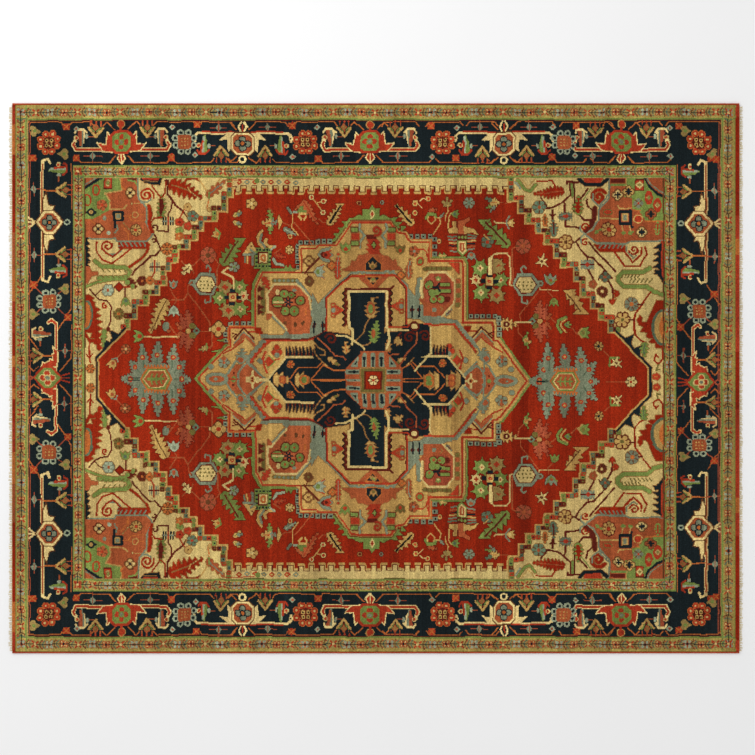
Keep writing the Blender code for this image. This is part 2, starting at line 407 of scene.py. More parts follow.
def noise(look, place, scale, stretch=(1, 1, 1), detail=2.0):
    """Cloudy grain of this many clouds to the metre, drawn out along an axis."""
    drawn = look.node("ShaderNodeMapping", {}, {"Vector": place, "Scale": stretch})
    return look.node("ShaderNodeTexNoise", {}, {"Vector": drawn, "Scale": scale, "Detail": detail}, "Fac")


def wool(name, streaks, fuzz, painted_nap_shade):
    """Cut pile: each knot's dye, streaked along its rows, with loose fibre, a matt tip and slow patches of
    painted shade for the light on the lie of the pile.
    """
    material, look, shader, place = start_material(name)
    dye = look.node("ShaderNodeAttribute", {"attribute_name": "dye"}, {}, "Color")
    rows = noise(look, place, 34, (1, 0.12, 1))
    # The clouds are painted shade: slow lighter and darker patches that stand for the light falling on the
    # lie of the pile.
    clouds = noise(look, place, 5, (1, 0.6, 1), 4.0)
    fibre = noise(look, place, 520)
    level = 1 + (rows - 0.5) * streaks + (clouds - 0.5) * painted_nap_shade + (fibre - 0.5) * fuzz
    coloured = look.tinted(dye, level)
    look.tree.links.new(coloured.socket, shader.inputs["Base Color"])
    rough = 0.86 + 0.16 * fibre
    look.tree.links.new(rough.socket, shader.inputs["Roughness"])
    tufts = noise(look, place, 260, (1, 1.6, 1))
    bump = look.node("ShaderNodeBump", {}, {"Height": tufts + 0.5 * fibre, "Strength": 0.55,
        "Distance": 0.0012})
    look.tree.links.new(bump.socket, shader.inputs["Normal"])
    shader.inputs["Specular IOR Level"].default_value = 0.06
    shader.inputs["Sheen Weight"].default_value = 0.02
    shader.inputs["Sheen Roughness"].default_value = 0.6
    return material


X, Y = np.meshgrid(xs, ys)
GUARD_WEST = west_band[1][0] / CM
GUARD_EAST = east_band[0][0] / CM
end_wool = wool("end_band_wool", 0.35, 0.3, 0.3)
ends = Stencil()
for edge, out in ((GUARD_WEST, -1), (GUARD_EAST, 1)):
    place = 0.0
    while place < SIDE:
        run = rng.uniform(4, 16)
        yarn = ("brick", "madder", "orange", "coral", "madder")[rng.integers(5)]
        ends.patch(yarn, (edge - 3, place), (edge + 3, place), (edge + 3, place + run),
            (edge - 3, place + run))
        place += run
tie_knots("west_end_band", "end_band_pile_west", X < GUARD_WEST, end_wool)
tie_knots("east_end_band", "end_band_pile_east", X > GUARD_EAST, end_wool)


# Guard bands: two narrow khaki stripes that fence the main border, with a vine down the middle of each
# that carries a floret at every bend, in red, orange and pale blue by turns. Their strips along the
# sides of the loom run the whole length, and the short ones fill in between.
FLORETS = ("gold", "sky", "brick")


def block(stencil, yarn, west, east, low, high, area=None):
    stencil.patch(yarn, (west, low), (east, low), (east, high), (west, high), area=area)


def floret(stencil, yarn, x, v):
    """Four small petals set square with a pale eye each, or a slanting red cross in the gold ones."""
    if yarn == "gold":
        for side in (-1, 1):
            stencil.line("brick", 0.8, (x - 1.5, v - side * 1.5), (x + 1.5, v + side * 1.5))
        stencil.disc("cream", x, v, 0.7)
        return
    reach = 1.1 if yarn == "sky" else 0.9
    for side in (-reach, reach):
        for up in (-reach, reach):
            stencil.disc("brick" if yarn == "coral" else "coral", x + side, v + up, 1.0, 0.95)
            stencil.disc("sky" if yarn == "sky" else "cream", x + side, v + up,
                0.75 if yarn == "sky" else 0.35)
    stencil.disc("navy", x, v, 0.5)


def vine(stencil, start, pitch, count, first):
    """A run of florets along x with leaves on each side of the stem between them."""
    stencil.line("navy", 0.4, (start, 0), (start + pitch * count, 0))
    for k in range(count):
        stem = start + pitch * (k + 0.5)
        for side in (-1, 1):
            stencil.line("brown", 0.5, (stem - 1.2, side * 0.6), (stem - 0.2, side * 2.2))
            stencil.line("rose", 0.4, (stem - 0.4, side * 1.5), (stem + 0.6, side * 1.5))
            stencil.line("teal", 0.5, (stem + 0.2, side * 0.5), (stem + 1.2, side * 1.8))
    for k in range(count + 1):
        floret(stencil, FLORETS[(k + first) % 3], start + pitch * k, 0)


def guard(ground, west, east, side, inner_west, inner_east, inner_side):
    """The khaki or straw ground of one guard, with a moss edge outside and a green one within."""
    block(Stencil(), ground, west, east, -FOLD_ROOM, side)
    for yarn, width, out, within in (("moss", 1.3, 0.7, 1.3), ("green", 0.7, 0.0, 0.5)):
        for edge in (west + out, east - out, inner_west - within, inner_east + within):
            Stencil().line(yarn, width, (edge, -FOLD_ROOM), (edge, side))
        for edge in (side - out, inner_side + within):
            Stencil().line(yarn, width, (west, edge), (east, edge))


def band(west, east, side, inner_west, inner_east, inner_side):
    """Which knots lie between two frames: the north, south, west and east strips."""
    across = (X > west) & (X < east)
    between = (abs(Y) < inner_side) & across
    return {"north": across & (Y > inner_side) & (Y < side),
        "south": across & (Y < -inner_side) & (Y > -side), "west": between & (X < inner_west),
        "east": between & (X > inner_east), }


def tie_band(prefix, label, strips, material):
    for side, chosen in strips.items():
        tie_knots(f"{label}_{side}", f"{prefix}_{side}", chosen, material)


main_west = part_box("main_border_pile_west")
main_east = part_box("main_border_pile_east")
BORDER_WEST = main_west[0][0] / CM
BORDER_EAST = main_east[1][0] / CM
BORDER_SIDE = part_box("main_border_pile_north")[1][1] / CM
INNER_WEST = west_guard[0][0] / CM
INNER_EAST = east_guard[1][0] / CM
INNER_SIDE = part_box("inner_guard_pile_north")[1][1] / CM
guard_wool = wool("guard_wool", 0.25, 0.3, 0.25)
guard("khaki", GUARD_WEST, GUARD_EAST, SIDE, BORDER_WEST, BORDER_EAST, BORDER_SIDE)
vine(Stencil(-177, 133), 0, 7.08, 50, 2)
vine(Stencil(-177.2, 0, tipped=True), 0, 8.87, 15, 1)
vine(Stencil(176.4, -2, tipped=True), 0, 9.0, 15, 0)
outer_strips = band(GUARD_WEST, GUARD_EAST, SIDE + 1, BORDER_WEST, BORDER_EAST, BORDER_SIDE)
tie_band("outer_guard_pile", "outer_guard", outer_strips, guard_wool)


# Main border: navy, with turtle palmettes in red and in ivory by turns and a rosette between each two,
# hung on two thin rust lines. Knotted in the same rows as the guards on either side of it.
def quatrefoil(stencil, x, v, reach, size, petal, edge, heart):
    for yarn, grow in ((edge, 0.5), (petal, 0.0)):
        for out_x, out_v in ((reach, 0), (-reach, 0), (0, reach), (0, -reach)):
            stencil.disc(yarn, x + out_x, v + out_v, size + grow)
    stencil.disc(edge, x, v, reach * 0.7)
    stencil.disc(heart, x, v, reach * 0.4)


def rosette(stencil, x, v):
    """Eight red petals with pale eyes, round a maroon heart with four gold rings."""
    petals = [(a * s, b * t) for a, b in ((1.7, 4.3), (4.3, 1.7)) for s in (1, -1) for t in (1, -1)]
    for out_x, out_v in petals:
        stencil.disc("orange", x + out_x, v + out_v, 1.8)
    for out_x, out_v in petals:
        stencil.disc("brick", x + out_x, v + out_v, 1.5)
        stencil.disc("cream", x + out_x, v + out_v, 0.6)
    stencil.disc("maroon", x, v, 3.1)
    for out_x in (-1.2, 1.2):
        for out_v in (-1.2, 1.2):
            stencil.disc("gold", x + out_x, v + out_v, 0.95)
            stencil.disc("black", x + out_x, v + out_v, 0.5)


def ring_rosette(stencil, x, v):
    """Eight pale rings with navy eyes, round an orange heart flecked with gold."""
    petals = [(a * s, b * t) for a, b in ((1.8, 4.5), (4.5, 1.8)) for s in (1, -1) for t in (1, -1)]
    for out_x, out_v in petals:
        stencil.ring("sky", "navy", x + out_x, v + out_v, 1.65, 0.9)
    stencil.octagon("coral", x, v, 3.5, 3.5, 1.2)
    for out_x in (-1.5, 0, 1.5):
        for out_v in (-1.5, 0, 1.5):
            stencil.disc("gold", x + out_x, v + out_v, 0.35)


def red_turtle(stencil):
    """A green block in a red frame, with red arms, wings and spikes edged in ivory."""
    for side in (-1, 1):
        stencil.line("ivory", 1.9, (0, 114.2), (side * 22.6, 114.2), (side * 24, 116.6),
            (side * 23.1, 118.6))
        stencil.line("brick", 1.1, (0, 114.2), (side * 22.4, 114.2), (side * 23.8, 116.6),
            (side * 23.2, 118))
        stencil.edged("brick", "ivory", 0.35, (side * 4.5, 113.2), (side * 9.4, 113.6),
            (side * 12.6, 117.6), (side * 8, 117), (side * 7.2, 123.4), (side * 4.6, 120))
        stencil.edged("brick", "ivory", 0.4, (side * 1, 112.5), (side * 2.2, 110), (0, 107.3), (0, 112.5))
    stencil.disc("gold", 0, 127, 2.1)
    stencil.disc("brick", 0, 127, 1.7)
    stencil.line("brick", 1.2, (0, 123), (0, 126.6))
    stencil.octagon("brick", 0, 118.3, 6.0, 5.9, 2.6)
    stencil.octagon("green", 0, 118.3, 4.7, 4.6, 2.0)
    quatrefoil(stencil, 0, 118.3, 2.3, 1.35, "brick", "green", "slate")


def ivory_turtle(stencil):
    """A coral block in an ivory frame, with ivory arms above it and a bulb below."""
    for side in (-1, 1):
        stencil.line("ivory", 1.2, (0, 122.7), (side * 22.4, 122.7), (side * 24.2, 121.2),
            (side * 24.2, 118.4))
        stencil.disc("ivory", side * 24.2, 120, 1.1)
        stencil.disc("black", side * 24.2, 120, 0.4)
        stencil.line("brick", 0.4, (side * 4, 123.2), (side * 20.5, 123.2))
        stencil.patch("ivory", (side * 3.6, 122.6), (side * 8, 122.2), (side * 11.8, 118.6),
            (side * 7.6, 119.4), (side * 7.4, 113), (side * 4.8, 115.6))
        stencil.line("ivory", 0.8, (0, 122), (side * 2, 126), (side * 0.6, 128.3))
    stencil.line("brick", 0.8, (0, 122), (0, 127))
    stencil.ring("ivory", "navy", 0, 109.3, 2.0, 0.9)
    stencil.octagon("brown", 0, 117.3, 5.9, 6.2, 2.6)
    stencil.octagon("ivory", 0, 117.3, 5.4, 5.7, 2.4)
    stencil.octagon("coral", 0, 117.3, 4.5, 4.8, 1.9)
    quatrefoil(stencil, 0, 117.3, 2.3, 1.35, "slate", "navy", "orange")


def hooked_leaf(stencil, x, v, facing, up, red):
    """A striped leaf that tapers to a point under a hook, with a gold bud and a pale one beside it."""
    yarns = ("ivory", "slate", "coral", "rose") if red else ("green", "green", "sky", "brick")
    for yarn, out, drop in zip(yarns, (-1.8, -0.8, 0.2, 1.2), (2.6, 4.4, 3.8, 1.6)):
        stencil.line(yarn, 1.1, (x + facing * out, v + up * 3.6), (x + facing * out * 0.5, v - up * drop))
    stencil.line("ivory" if red else "brick", 0.9, (x - facing * 2.8, v + up * 2.6),
        (x - facing * 1.2, v + up * 4.4), (x + facing * 2, v + up * 4.4), (x + facing * 3, v + up * 2.8))
    stencil.disc("cream", x + facing * 2.5, v + up * 0.2, 1.3, 1.1)
    stencil.disc("brick", x + facing * 2.3, v + up * 0.2, 0.7)
    stencil.disc("sky", x - facing * 2.9, v + up * 0.6, 0.8, 1.2)
    stencil.line("coral", 0.5, (x - facing * 3.6, v + up * 0.4), (x - facing * 6, v + up * 0.4))


def cup(stencil, x, v, up):
    """A gold V with a green lining, a pale bud in it and three red threads that end in dots over it."""
    stencil.line("gold", 1.1, (x - 3.4, v + up * 4.4), (x, v), (x + 3.4, v + up * 4.4))
    stencil.line("green", 0.5, (x - 2.4, v + up * 4.6), (x, v + up * 1.6), (x + 2.4, v + up * 4.6))
    stencil.diamond("coral", x, v + up * 4.7, 1.7, 2.1)
    stencil.diamond("tan", x, v + up * 4.7, 1.2, 1.5)
    stencil.disc("maroon", x, v + up * 2, 0.6)
    for out in (-2.4, 0, 2.4):
        stencil.line("coral", 0.4, (x + out, v + up * 5.6), (x + out, v + up * 8))
        stencil.disc("brick", x + out, v + up * 7.4, 0.45)


def knot_mark(stencil, x, v):
    stencil.disc("brick", x, v, 1.8)
    for up in (-1.4, 1.4):
        stencil.line("orange", 0.4, (x - 1.4, v - up), (x + 1.4, v + up))


def bar_diamond(stencil, x, v):
    stencil.line("rose", 0.4, (x - 4.2, v), (x + 4.2, v))
    stencil.line("rose", 0.4, (x, v - 3.4), (x, v + 3.4))
    stencil.diamond("slate", x, v, 1.5, 2.1)
    stencil.line("rose", 0.3, (x, v - 1.2), (x, v + 1.2))


def heart(stencil, x, v, facing):
    """A khaki heart with a green middle, its point along the border."""
    stencil.disc("khaki", x - facing * 0.8, v + 1.2, 1.5)
    stencil.disc("khaki", x - facing * 0.8, v - 1.2, 1.5)
    stencil.patch("khaki", (x - facing, v + 2.5), (x + facing * 3.2, v), (x - facing, v - 2.5))
    stencil.disc("green", x - facing * 0.2, v, 0.9)


def end_border(stencil, turtle, ring_v):
    """Half of a short side's border, from the middle turtle out, with x counted from its own middle."""
    tipped = Stencil(stencil.x, 0, stencil.along, tipped=True)
    for start, stop in ((-FOLD_ROOM, turtle + 6.5), (turtle + 21, ring_v + 3), (ring_v + 12, 107)):
        stencil.line("rose", 0.4, (-10.4, start), (-10.4, stop))
    for start, stop in ((turtle + 10, ring_v - 12), (ring_v - 4, ring_v + 26), (ring_v + 46, 107)):
        stencil.line("orange", 0.4, (11.2, start), (11.2, stop))
    stencil.line("orange", 0.4, (11.2, turtle + 10), (5.8, turtle + 3.4))
    stencil.line("orange", 0.4, (-10.4, turtle + 21), (-5.4, turtle + 14.4))
    stencil.line("orange", 0.4, (-10.4, turtle + 6.5), (-8, turtle + 3.6), (-5.4, turtle + 5.6))
    stencil.line("orange", 0.4, (4, ring_v - 14.5), (11.2, ring_v - 4))
    stencil.line("orange", 0.4, (-10.4, ring_v + 3), (-4, ring_v + 13))
    stencil.line("rose", 0.4, (-7.4, ring_v + 8), (9.3, ring_v - 8))
    stencil.line("rose", 0.4, (-7, ring_v - 6.5), (7.6, ring_v + 6.2))
    # The red turtle at the middle: a green six-sided block with a bar beside it that ends in a hook
    stencil.line("ivory", 1.9, (3.4, turtle), (3.4, turtle + 27), (1, turtle + 29), (-0.6, turtle + 27.6))
    stencil.line("brick", 1.1, (3.4, turtle), (3.4, turtle + 27), (1, turtle + 28.8), (-0.4, turtle + 27.8))
    for k in (-1, 1):
        wing = ((-4, 5.4), (-3.4, 7.8), (-2.3, 7.4), (-0.2, 8.4), (0.2, 9.6), (1.8, 8.8), (1.2, 12),
            (2.2, 12.2), (1.6, 15.8), (4.2, 13), (4.2, 5.4))
        stencil.edged("brick", "ivory", 0.35, *[(x, turtle + k * v) for x, v in wing])
    for yarn, less in (("brick", 0.0), ("green", 1.3)):
        stencil.patch(yarn, (-8.4 + less, turtle), (-3.2 + 0.4 * less, turtle + 6.2 - less),
            (1.8 - 0.4 * less, turtle + 6.2 - less), (7 - less, turtle),
            (1.8 - 0.4 * less, turtle - 6.2 + less), (-3.2 + 0.4 * less, turtle - 6.2 + less))
    quatrefoil(stencil, -0.8, turtle, 2.3, 1.3, "brick", "cream", "slate")
    for k in (-2.2, 0, 2.2):
        stencil.line("brick", 0.7, (6.5, turtle + k * 0.5), (10.2, turtle + k))
    stencil.ring("rose", "navy", -9.4, turtle, 1.5, 0.8)
    cup(tipped, turtle + 11.2, -3.2, -1)
    stencil.line("orange", 0.8, (-3.2, turtle + 11.2), (1.6, turtle + 11.2))
    hooked_leaf(tipped, turtle + 22, -3.8, 1, -1, True)
    bar_diamond(stencil, 7.8, turtle + 13.5)
    # The ring rosette with its knots and hearts
    knot_mark(stencil, 9.3, ring_v - 8)
    knot_mark(stencil, -7.6, ring_v + 8.5)
    heart(stencil, -7.4, ring_v - 6.5, 1)
    heart(stencil, 7.8, ring_v + 6.2, -1)
    ring_rosette(stencil, 0, ring_v)


def ivory_end_turtle(stencil, v):
    """The ivory turtle of a short side, with its long bar and the small things round it."""
    tipped = Stencil(stencil.x, 0, stencil.along, tipped=True)
    stencil.line("ivory", 1.4, (-3.4, v - 28.5), (-3.4, v + 31))
    stencil.line("coral", 0.4, (-3.4, v - 27), (-3.4, v + 29.5))
    for k in (-1, 1):
        end = 31 if k > 0 else 28.5
        stencil.line("ivory", 1.1, (-3.4, v + k * end), (-0.8, v + k * (end + 1)),
            (0.4, v + k * (end - 1.2)))
        stencil.edged("ivory", "brown", 0.4, (-3, v + k * 6), (2, v + k * 6), (3, v + k * 8.5),
            (0, v + k * 9), (-1.2, v + k * 15.5), (-3, v + k * 11))
        cup(tipped, v + k * 16.1, 3.6, 1)
        stencil.line("orange", 0.7, (-2.6, v + k * 16.1), (3.6, v + k * 16.1))
        bar_diamond(stencil, -7.6, v + k * 16.5)
        hooked_leaf(tipped, v + k * (24.4 + (k > 0) * 2), 4.6, k, 1, False)
        stencil.line("ivory", 0.9, (-7, v), (-10, v + k * 2.2))
    stencil.line("ivory", 0.9, (-7, v), (-10.4, v))
    stencil.edged("ivory", "brown", 0.5, (-7.2, v), (-2.2, v + 6.2), (2.8, v + 6.2), (7.6, v),
        (2.8, v - 6.2), (-2.2, v - 6.2))
    stencil.patch("coral", (-5.6, v), (-1.6, v + 4.8), (2.2, v + 4.8), (6, v), (2.2, v - 4.8),
        (-1.6, v - 4.8))
    quatrefoil(stencil, 0.2, v, 2.3, 1.35, "slate", "navy", "orange")
    stencil.ring("sky", "navy", 9.0, v, 1.5, 0.8)


border_wool = wool("border_wool", 0.3, 0.3, 0.3)
navy = Stencil()
block(navy, "navy", BORDER_WEST, BORDER_EAST, -FOLD_ROOM, BORDER_SIDE)
navy.line("maroon", 0.5, (BORDER_WEST + 0.3, -FOLD_ROOM), (BORDER_WEST + 0.3, BORDER_SIDE - 0.3),
    (BORDER_EAST - 0.3, BORDER_SIDE - 0.3), (BORDER_EAST - 0.3, -FOLD_ROOM))
for x in (BORDER_WEST + 1.1, BORDER_EAST - 1.1):
    navy.line("rose", 0.5, (x, -FOLD_ROOM), (x, BORDER_SIDE - 1))

# The long side's two rust lines, which break off at each motif: the level run of each piece of line
HIGH_LINE = ((-173.3, -157.5), (-151.8, -142.5), (-109.5, -91.5), (-86.5, -72), (-60, -45), (-39.5, -21),
    (5, 20), (27, 42), (47, 60), (71, 88), (93.5, 117), (130, 142), (147, 171.5))
LOW_LINE = ((-147, -133), (-120.5, -104), (-99.5, -82.5), (-72, -69), (-50, -31), (-26.5, -9), (3.5, 27),
    (32, 58), (70, 86), (91, 104), (109, 117), (129, 146))
for runs, level, inward in ((HIGH_LINE, 128.3, -2), (LOW_LINE, 107.8, 2)):
    for start, stop in runs:
        navy.line("orange", 0.4, (start - 1.6, level + inward), (start, level), (stop, level),
            (stop + 1.6, level + inward))
for x in (-127, -2.8, 122.9):
    for side in (-1, 1):
        navy.line("orange", 0.4, (x + side * 9.2, 126.4), (x + side * 7.4, 128.3), (x + side * 3.4, 124.6))
        navy.line("orange", 0.4, (x + side * 6.5, 107.8), (x + side * 3, 111.5))
        hooked_leaf(navy, x + side * 20, 120.2, side, 1, True)
        cup(navy, x + side * 12.8, 120.7, 1)
        bar_diamond(navy, x + side * 14.2, 111)
    red_turtle(Stencil(x))
for x in (-66.3, 64.4):
    for side in (-1, 1):
        navy.line("orange", 0.4, (x + side * 6.5, 128.3), (x + side * 3, 124.5))
        navy.line("orange", 0.4, (x + side * 8.4, 110), (x + side * 6.5, 107.8), (x + side * 3, 110.5))
        hooked_leaf(navy, x + side * 19.6, 116.6, side, -1, False)
        cup(navy, x + side * 11, 115.8, -1)
        bar_diamond(navy, x + side * 12.3, 125.5)
    ivory_turtle(Stencil(x))
for x, v in ((-154.7, 126), (-171.3, 110), (-149.5, 110), (-101.8, 110.5), (-89.3, 126.8), (-41.8, 126.5),
        (-28.8, 110), (28, 126.5), (40, 110), (88.5, 110.5), (100.5, 126.5), (151.5, 126), (168, 110)):
    knot_mark(navy, x, v)
for x, v in ((-149.5, 125), (-101.3, 125.5), (-90, 111.5), (-29, 125.3), (-41.2, 111), (28.5, 111),
        (40.5, 125.3), (88.5, 125.5), (100, 111.2), (147, 125), (147.5, 111)):
    navy.diamond("sky", x, v, 1.6)
    navy.disc("rose", x, v, 0.6)
for x in (-163.3, -35, 33.8, 161.8):
    rosette(navy, x, 117.9)
for x in (-95.5, 94.1):
    ring_rosette(navy, x, 118.2)
for x, v, facing in ((-170.3, 123.5, 1), (-156, 112, -1), (155, 123.5, 1), (168.5, 112, -1)):
    heart(navy, x, v, facing)
for middle, along, turtle, ring_v, ivory_v in ((-163.2, 1, 0.2, 38.5, 78), (162, -1, -2, 33.5, 77.3)):
    short_side = Stencil(middle, 0, along)
    end_border(short_side, turtle, ring_v)
    ivory_end_turtle(short_side, ivory_v)
    knot_mark(short_side, -8.5, ivory_v + 32)
main_strips = band(BORDER_WEST, BORDER_EAST, BORDER_SIDE, INNER_WEST, INNER_EAST, INNER_SIDE)
tie_band("main_border_pile", "main_border", main_strips, border_wool)


# Inner guard: the same khaki vine as the outer one, between the border and the field.
guard("straw", INNER_WEST, INNER_EAST, INNER_SIDE, FIELD_WEST, FIELD_EAST, field_north)
vine(Stencil(-148.5, 103.5), 0, 7.207, 41, 2)
vine(Stencil(-148.7, 0, tipped=True), 0, 8.625, 12, 0)
vine(Stencil(147.1, -2, tipped=True), 0, 8.79, 12, 0)
inner_strips = band(INNER_WEST, INNER_EAST, INNER_SIDE, FIELD_WEST, FIELD_EAST, field_north)
tie_band("inner_guard_pile", "inner_guard", inner_strips, guard_wool)


# Corners of the field: cream, with a coral and green patch in each and curling red stems. Where they
# meet the red ground their edge goes in steps, a row of red and green checks with a gold line outside.
field = Stencil()
block(field, "madder", FIELD_WEST, FIELD_EAST, -FOLD_ROOM, field_north, area="ground")
STEPS_WEST = ((-71.5, 100.2), (-71.5, 90.8), (-74.2, 90.8), (-74.2, 83.3), (-79, 83.3), (-79, 78.3),
    (-85.8, 78.3), (-85.8, 73.7), (-89, 73.7), (-89, 69), (-93, 69), (-93, 64.3), (-98.5, 64.3),
    (-98.5, 58), (-102, 58), (-102, 53.5), (-104.7, 53.5), (-104.7, 46.3), (-108, 46.3), (-108, 41.5),
    (-113.3, 41.5), (-113.3, 36.4), (-118.8, 36.4), (-118.8, 29.6), (-122.8, 29.6), (-122.8, 24.5),
    (-124.5, 24.3))
STEPS_EAST = ((66.3, 100.2), (66.3, 88.5), (71.5, 88.5), (71.5, 82.3), (75, 82.3), (75, 77.3), (80, 77.3),
    (80, 72.3), (84.3, 72.3), (84.3, 67), (88.8, 67), (88.8, 60), (92.5, 60), (92.5, 55.5), (98.8, 55.5),
    (98.8, 48.3), (102.3, 48.3), (102.3, 40.5), (107.2, 40.5), (107.2, 34.8), (111.7, 34.8), (111.7, 29.3),
    (116.5, 29.3), (116.5, 22.8), (119.8, 22.8))
POINT_WEST = ((-138.5, 9.5), (-138.5, -4))
POINT_EAST = ((136.7, 4.5), (136.7, -4))


def stepped_edge(steps, point, edge, facing):
    """A cream corner with its checks, its gold line and the navy slope down to the point."""
    field.patch("cream", (edge, field_north), *steps, *point, (edge, -FOLD_ROOM), area="spandrel")
    for k, ((x0, v0), (x1, v1)) in enumerate(zip(steps, steps[1:])):
        inset_x, inset_v = -facing * 1.7, 1.6
        length = max(abs(x1 - x0), abs(v1 - v0))
        count = max(1, round(length / 2.1))
        for n in range(count + 1):
            share = n / count
            cx = x0 + (x1 - x0) * share + inset_x
            cv = v0 + (v1 - v0) * share + inset_v
            yarn = ("maroon", "green", "brick", "teal")[(n + k) % 4]
            block(field, yarn, cx - 1.05, cx + 1.05, cv - 1.05, cv + 1.05)
            field.disc("navy" if n % 2 else "olive", cx, cv, 0.45)
    field.line("gold", 0.8, *steps, *point)
    slope = [(x - facing * 0.9, v + 0.6) for x, v in (steps[-1], *point)]
    field.line("navy", 1.1, *slope)
    for share in (0.2, 0.48):
        x = slope[0][0] + (slope[1][0] - slope[0][0]) * share
        v = slope[0][1] + (slope[1][1] - slope[0][1]) * share
        field.patch("navy", (x, v), (x - facing * 5, v + 2.2), (x - facing * 3.6, v - 1.6),
            (x - facing * 4, v - 3.5))


def spiral(stencil, yarn, x, v, reach, turns, start, width=1.0, curl=1):
    """A line that winds in to its middle."""
    stops = []
    for k in range(int(turns * 12) + 1):
        angle = start + curl * math.tau * k / 12
        out = reach * (1 - 0.85 * k / (turns * 12))
        stops.append((x + out * math.cos(angle), v + out * math.sin(angle)))
    stencil.line(yarn, width, *stops)


def comb(stencil, yarn, x, v, wide, high, bars):
    """Short bars side by side on a stalk."""
    for k in range(bars):
        across = x - wide / 2 + wide * (k + 0.5) / bars
        stencil.line(yarn, 0.7, (across, v - high / 2), (across, v + high / 2))
    stencil.line("maroon", 0.6, (x - wide / 2, v), (x + wide / 2, v))


def corner_patch(s):
    """The coral and green patch at the outer corner, with its flowers, ring and square."""
    s.patch("coral", (-148, 101), (-118.7, 101), (-118.3, 90), (-114.6, 85), (-114.4, 78), (-111.5, 71.8),
        (-114.5, 68.3), (-129.5, 68.3), (-130.3, 70), (-148, 70))
    s.patch("green", (-137, 101), (-127.5, 101), (-127.5, 93.5), (-135.5, 92.5), (-132.5, 88), (-132.5, 84),
        (-142, 79.5), (-148, 80), (-148, 93))
    s.line("gold", 0.7, (-127.3, 100), (-127, 93.8), (-135.3, 92.4), (-132.8, 88.5), (-132.6, 84.4),
        (-126, 84.6), (-124, 86.5))
    s.line("orange", 0.7, (-146, 79), (-142, 79), (-138.5, 76.5))
    s.line("orange", 0.7, (-126.5, 100), (-127, 95.5), (-124.5, 93.5))
    s.patch("maroon", (-127, 101), (-119, 101), (-119.3, 98.5), (-123, 99.3))
    s.line("green", 0.9, (-123.5, 99), (-120, 98.3), (-119, 96.5))
    s.line("slate", 0.9, (-118.7, 100), (-118.3, 90), (-114.6, 85), (-114.4, 78), (-111.5, 71.8),
        (-114.5, 68.3), (-129.5, 68.3), (-130.3, 70), (-146, 70))
    s.line("navy", 1.4, (-145.8, 94.6), (-137, 100.3))
    s.line("slate", 0.6, (-145.8, 96.2), (-139, 100.3))
    s.patch("coral", (-146, 97.5), (-146, 101), (-141, 101))
    s.edged("brick", "maroon", 0.5, (-135.6, 101), (-132, 101), (-132, 94.8), (-135.6, 94.8))
    s.disc("cream", -133.8, 97.7, 1.2, 2.0)
    s.disc("green", -133.8, 97.7, 0.5, 0.9)
    s.ring("brick", "green", -144, 89, 2.2, 0.8, high=3.0)
    s.ring("brick", "green", -139.5, 94, 2.0, 0.8, high=3.0)
    s.flower("coral", "brick", -136.5, 86.5, 2.6, count=5)
    s.diamond("navy", -142, 83, 3.0, 2.2)
    s.disc("gold", -142, 83, 1.1)
    s.edged("coral", "navy", 1.3, (-130.6, 79), (-126.6, 79), (-126.6, 83), (-130.6, 83))
    s.edged("slate", "gold", 0.6, (-129.9, 79.7), (-127.6, 79.7), (-127.6, 82.2), (-129.9, 82.2))
    s.line("navy", 1.3, (-130.6, 79), (-130.3, 75.5))
    s.line("slate", 0.8, (-129.5, 76.5), (-129, 74.5), (-130.3, 72.8))
    s.flower("cream", "navy", -122.5, 92.7, 2.3, "brown")
    s.flower("gold", "brick", -119.8, 74, 3.0, "brown", count=8)
    s.ring("gold", "coral", -120.3, 81.6, 1.7, 0.5)
    s.line("orange", 0.5, (-126, 81), (-123.5, 81), (-122, 81.5))
    s.line("orange", 0.5, (-123.5, 81), (-122, 78.6), (-115.5, 78.6))
    s.line("orange", 0.5, (-118.5, 81.8), (-115.5, 81.8))
    s.line("cream", 0.7, (-126.2, 77.6), (-123.2, 74.2))
    s.line("orange", 0.5, (-127.2, 76.5), (-123.8, 72.5), (-123.6, 69))
    s.flower("cream", "navy", -138.3, 75, 2.4, "maroon")
    s.disc("sky", -133.3, 73, 1.0)
    s.disc("slate", -135.2, 80.2, 0.9)
    s.disc("cream", -121.6, 87.2, 0.7)
    s.line("gold", 0.5, (-120.5, 87.3), (-117.7, 87.3))


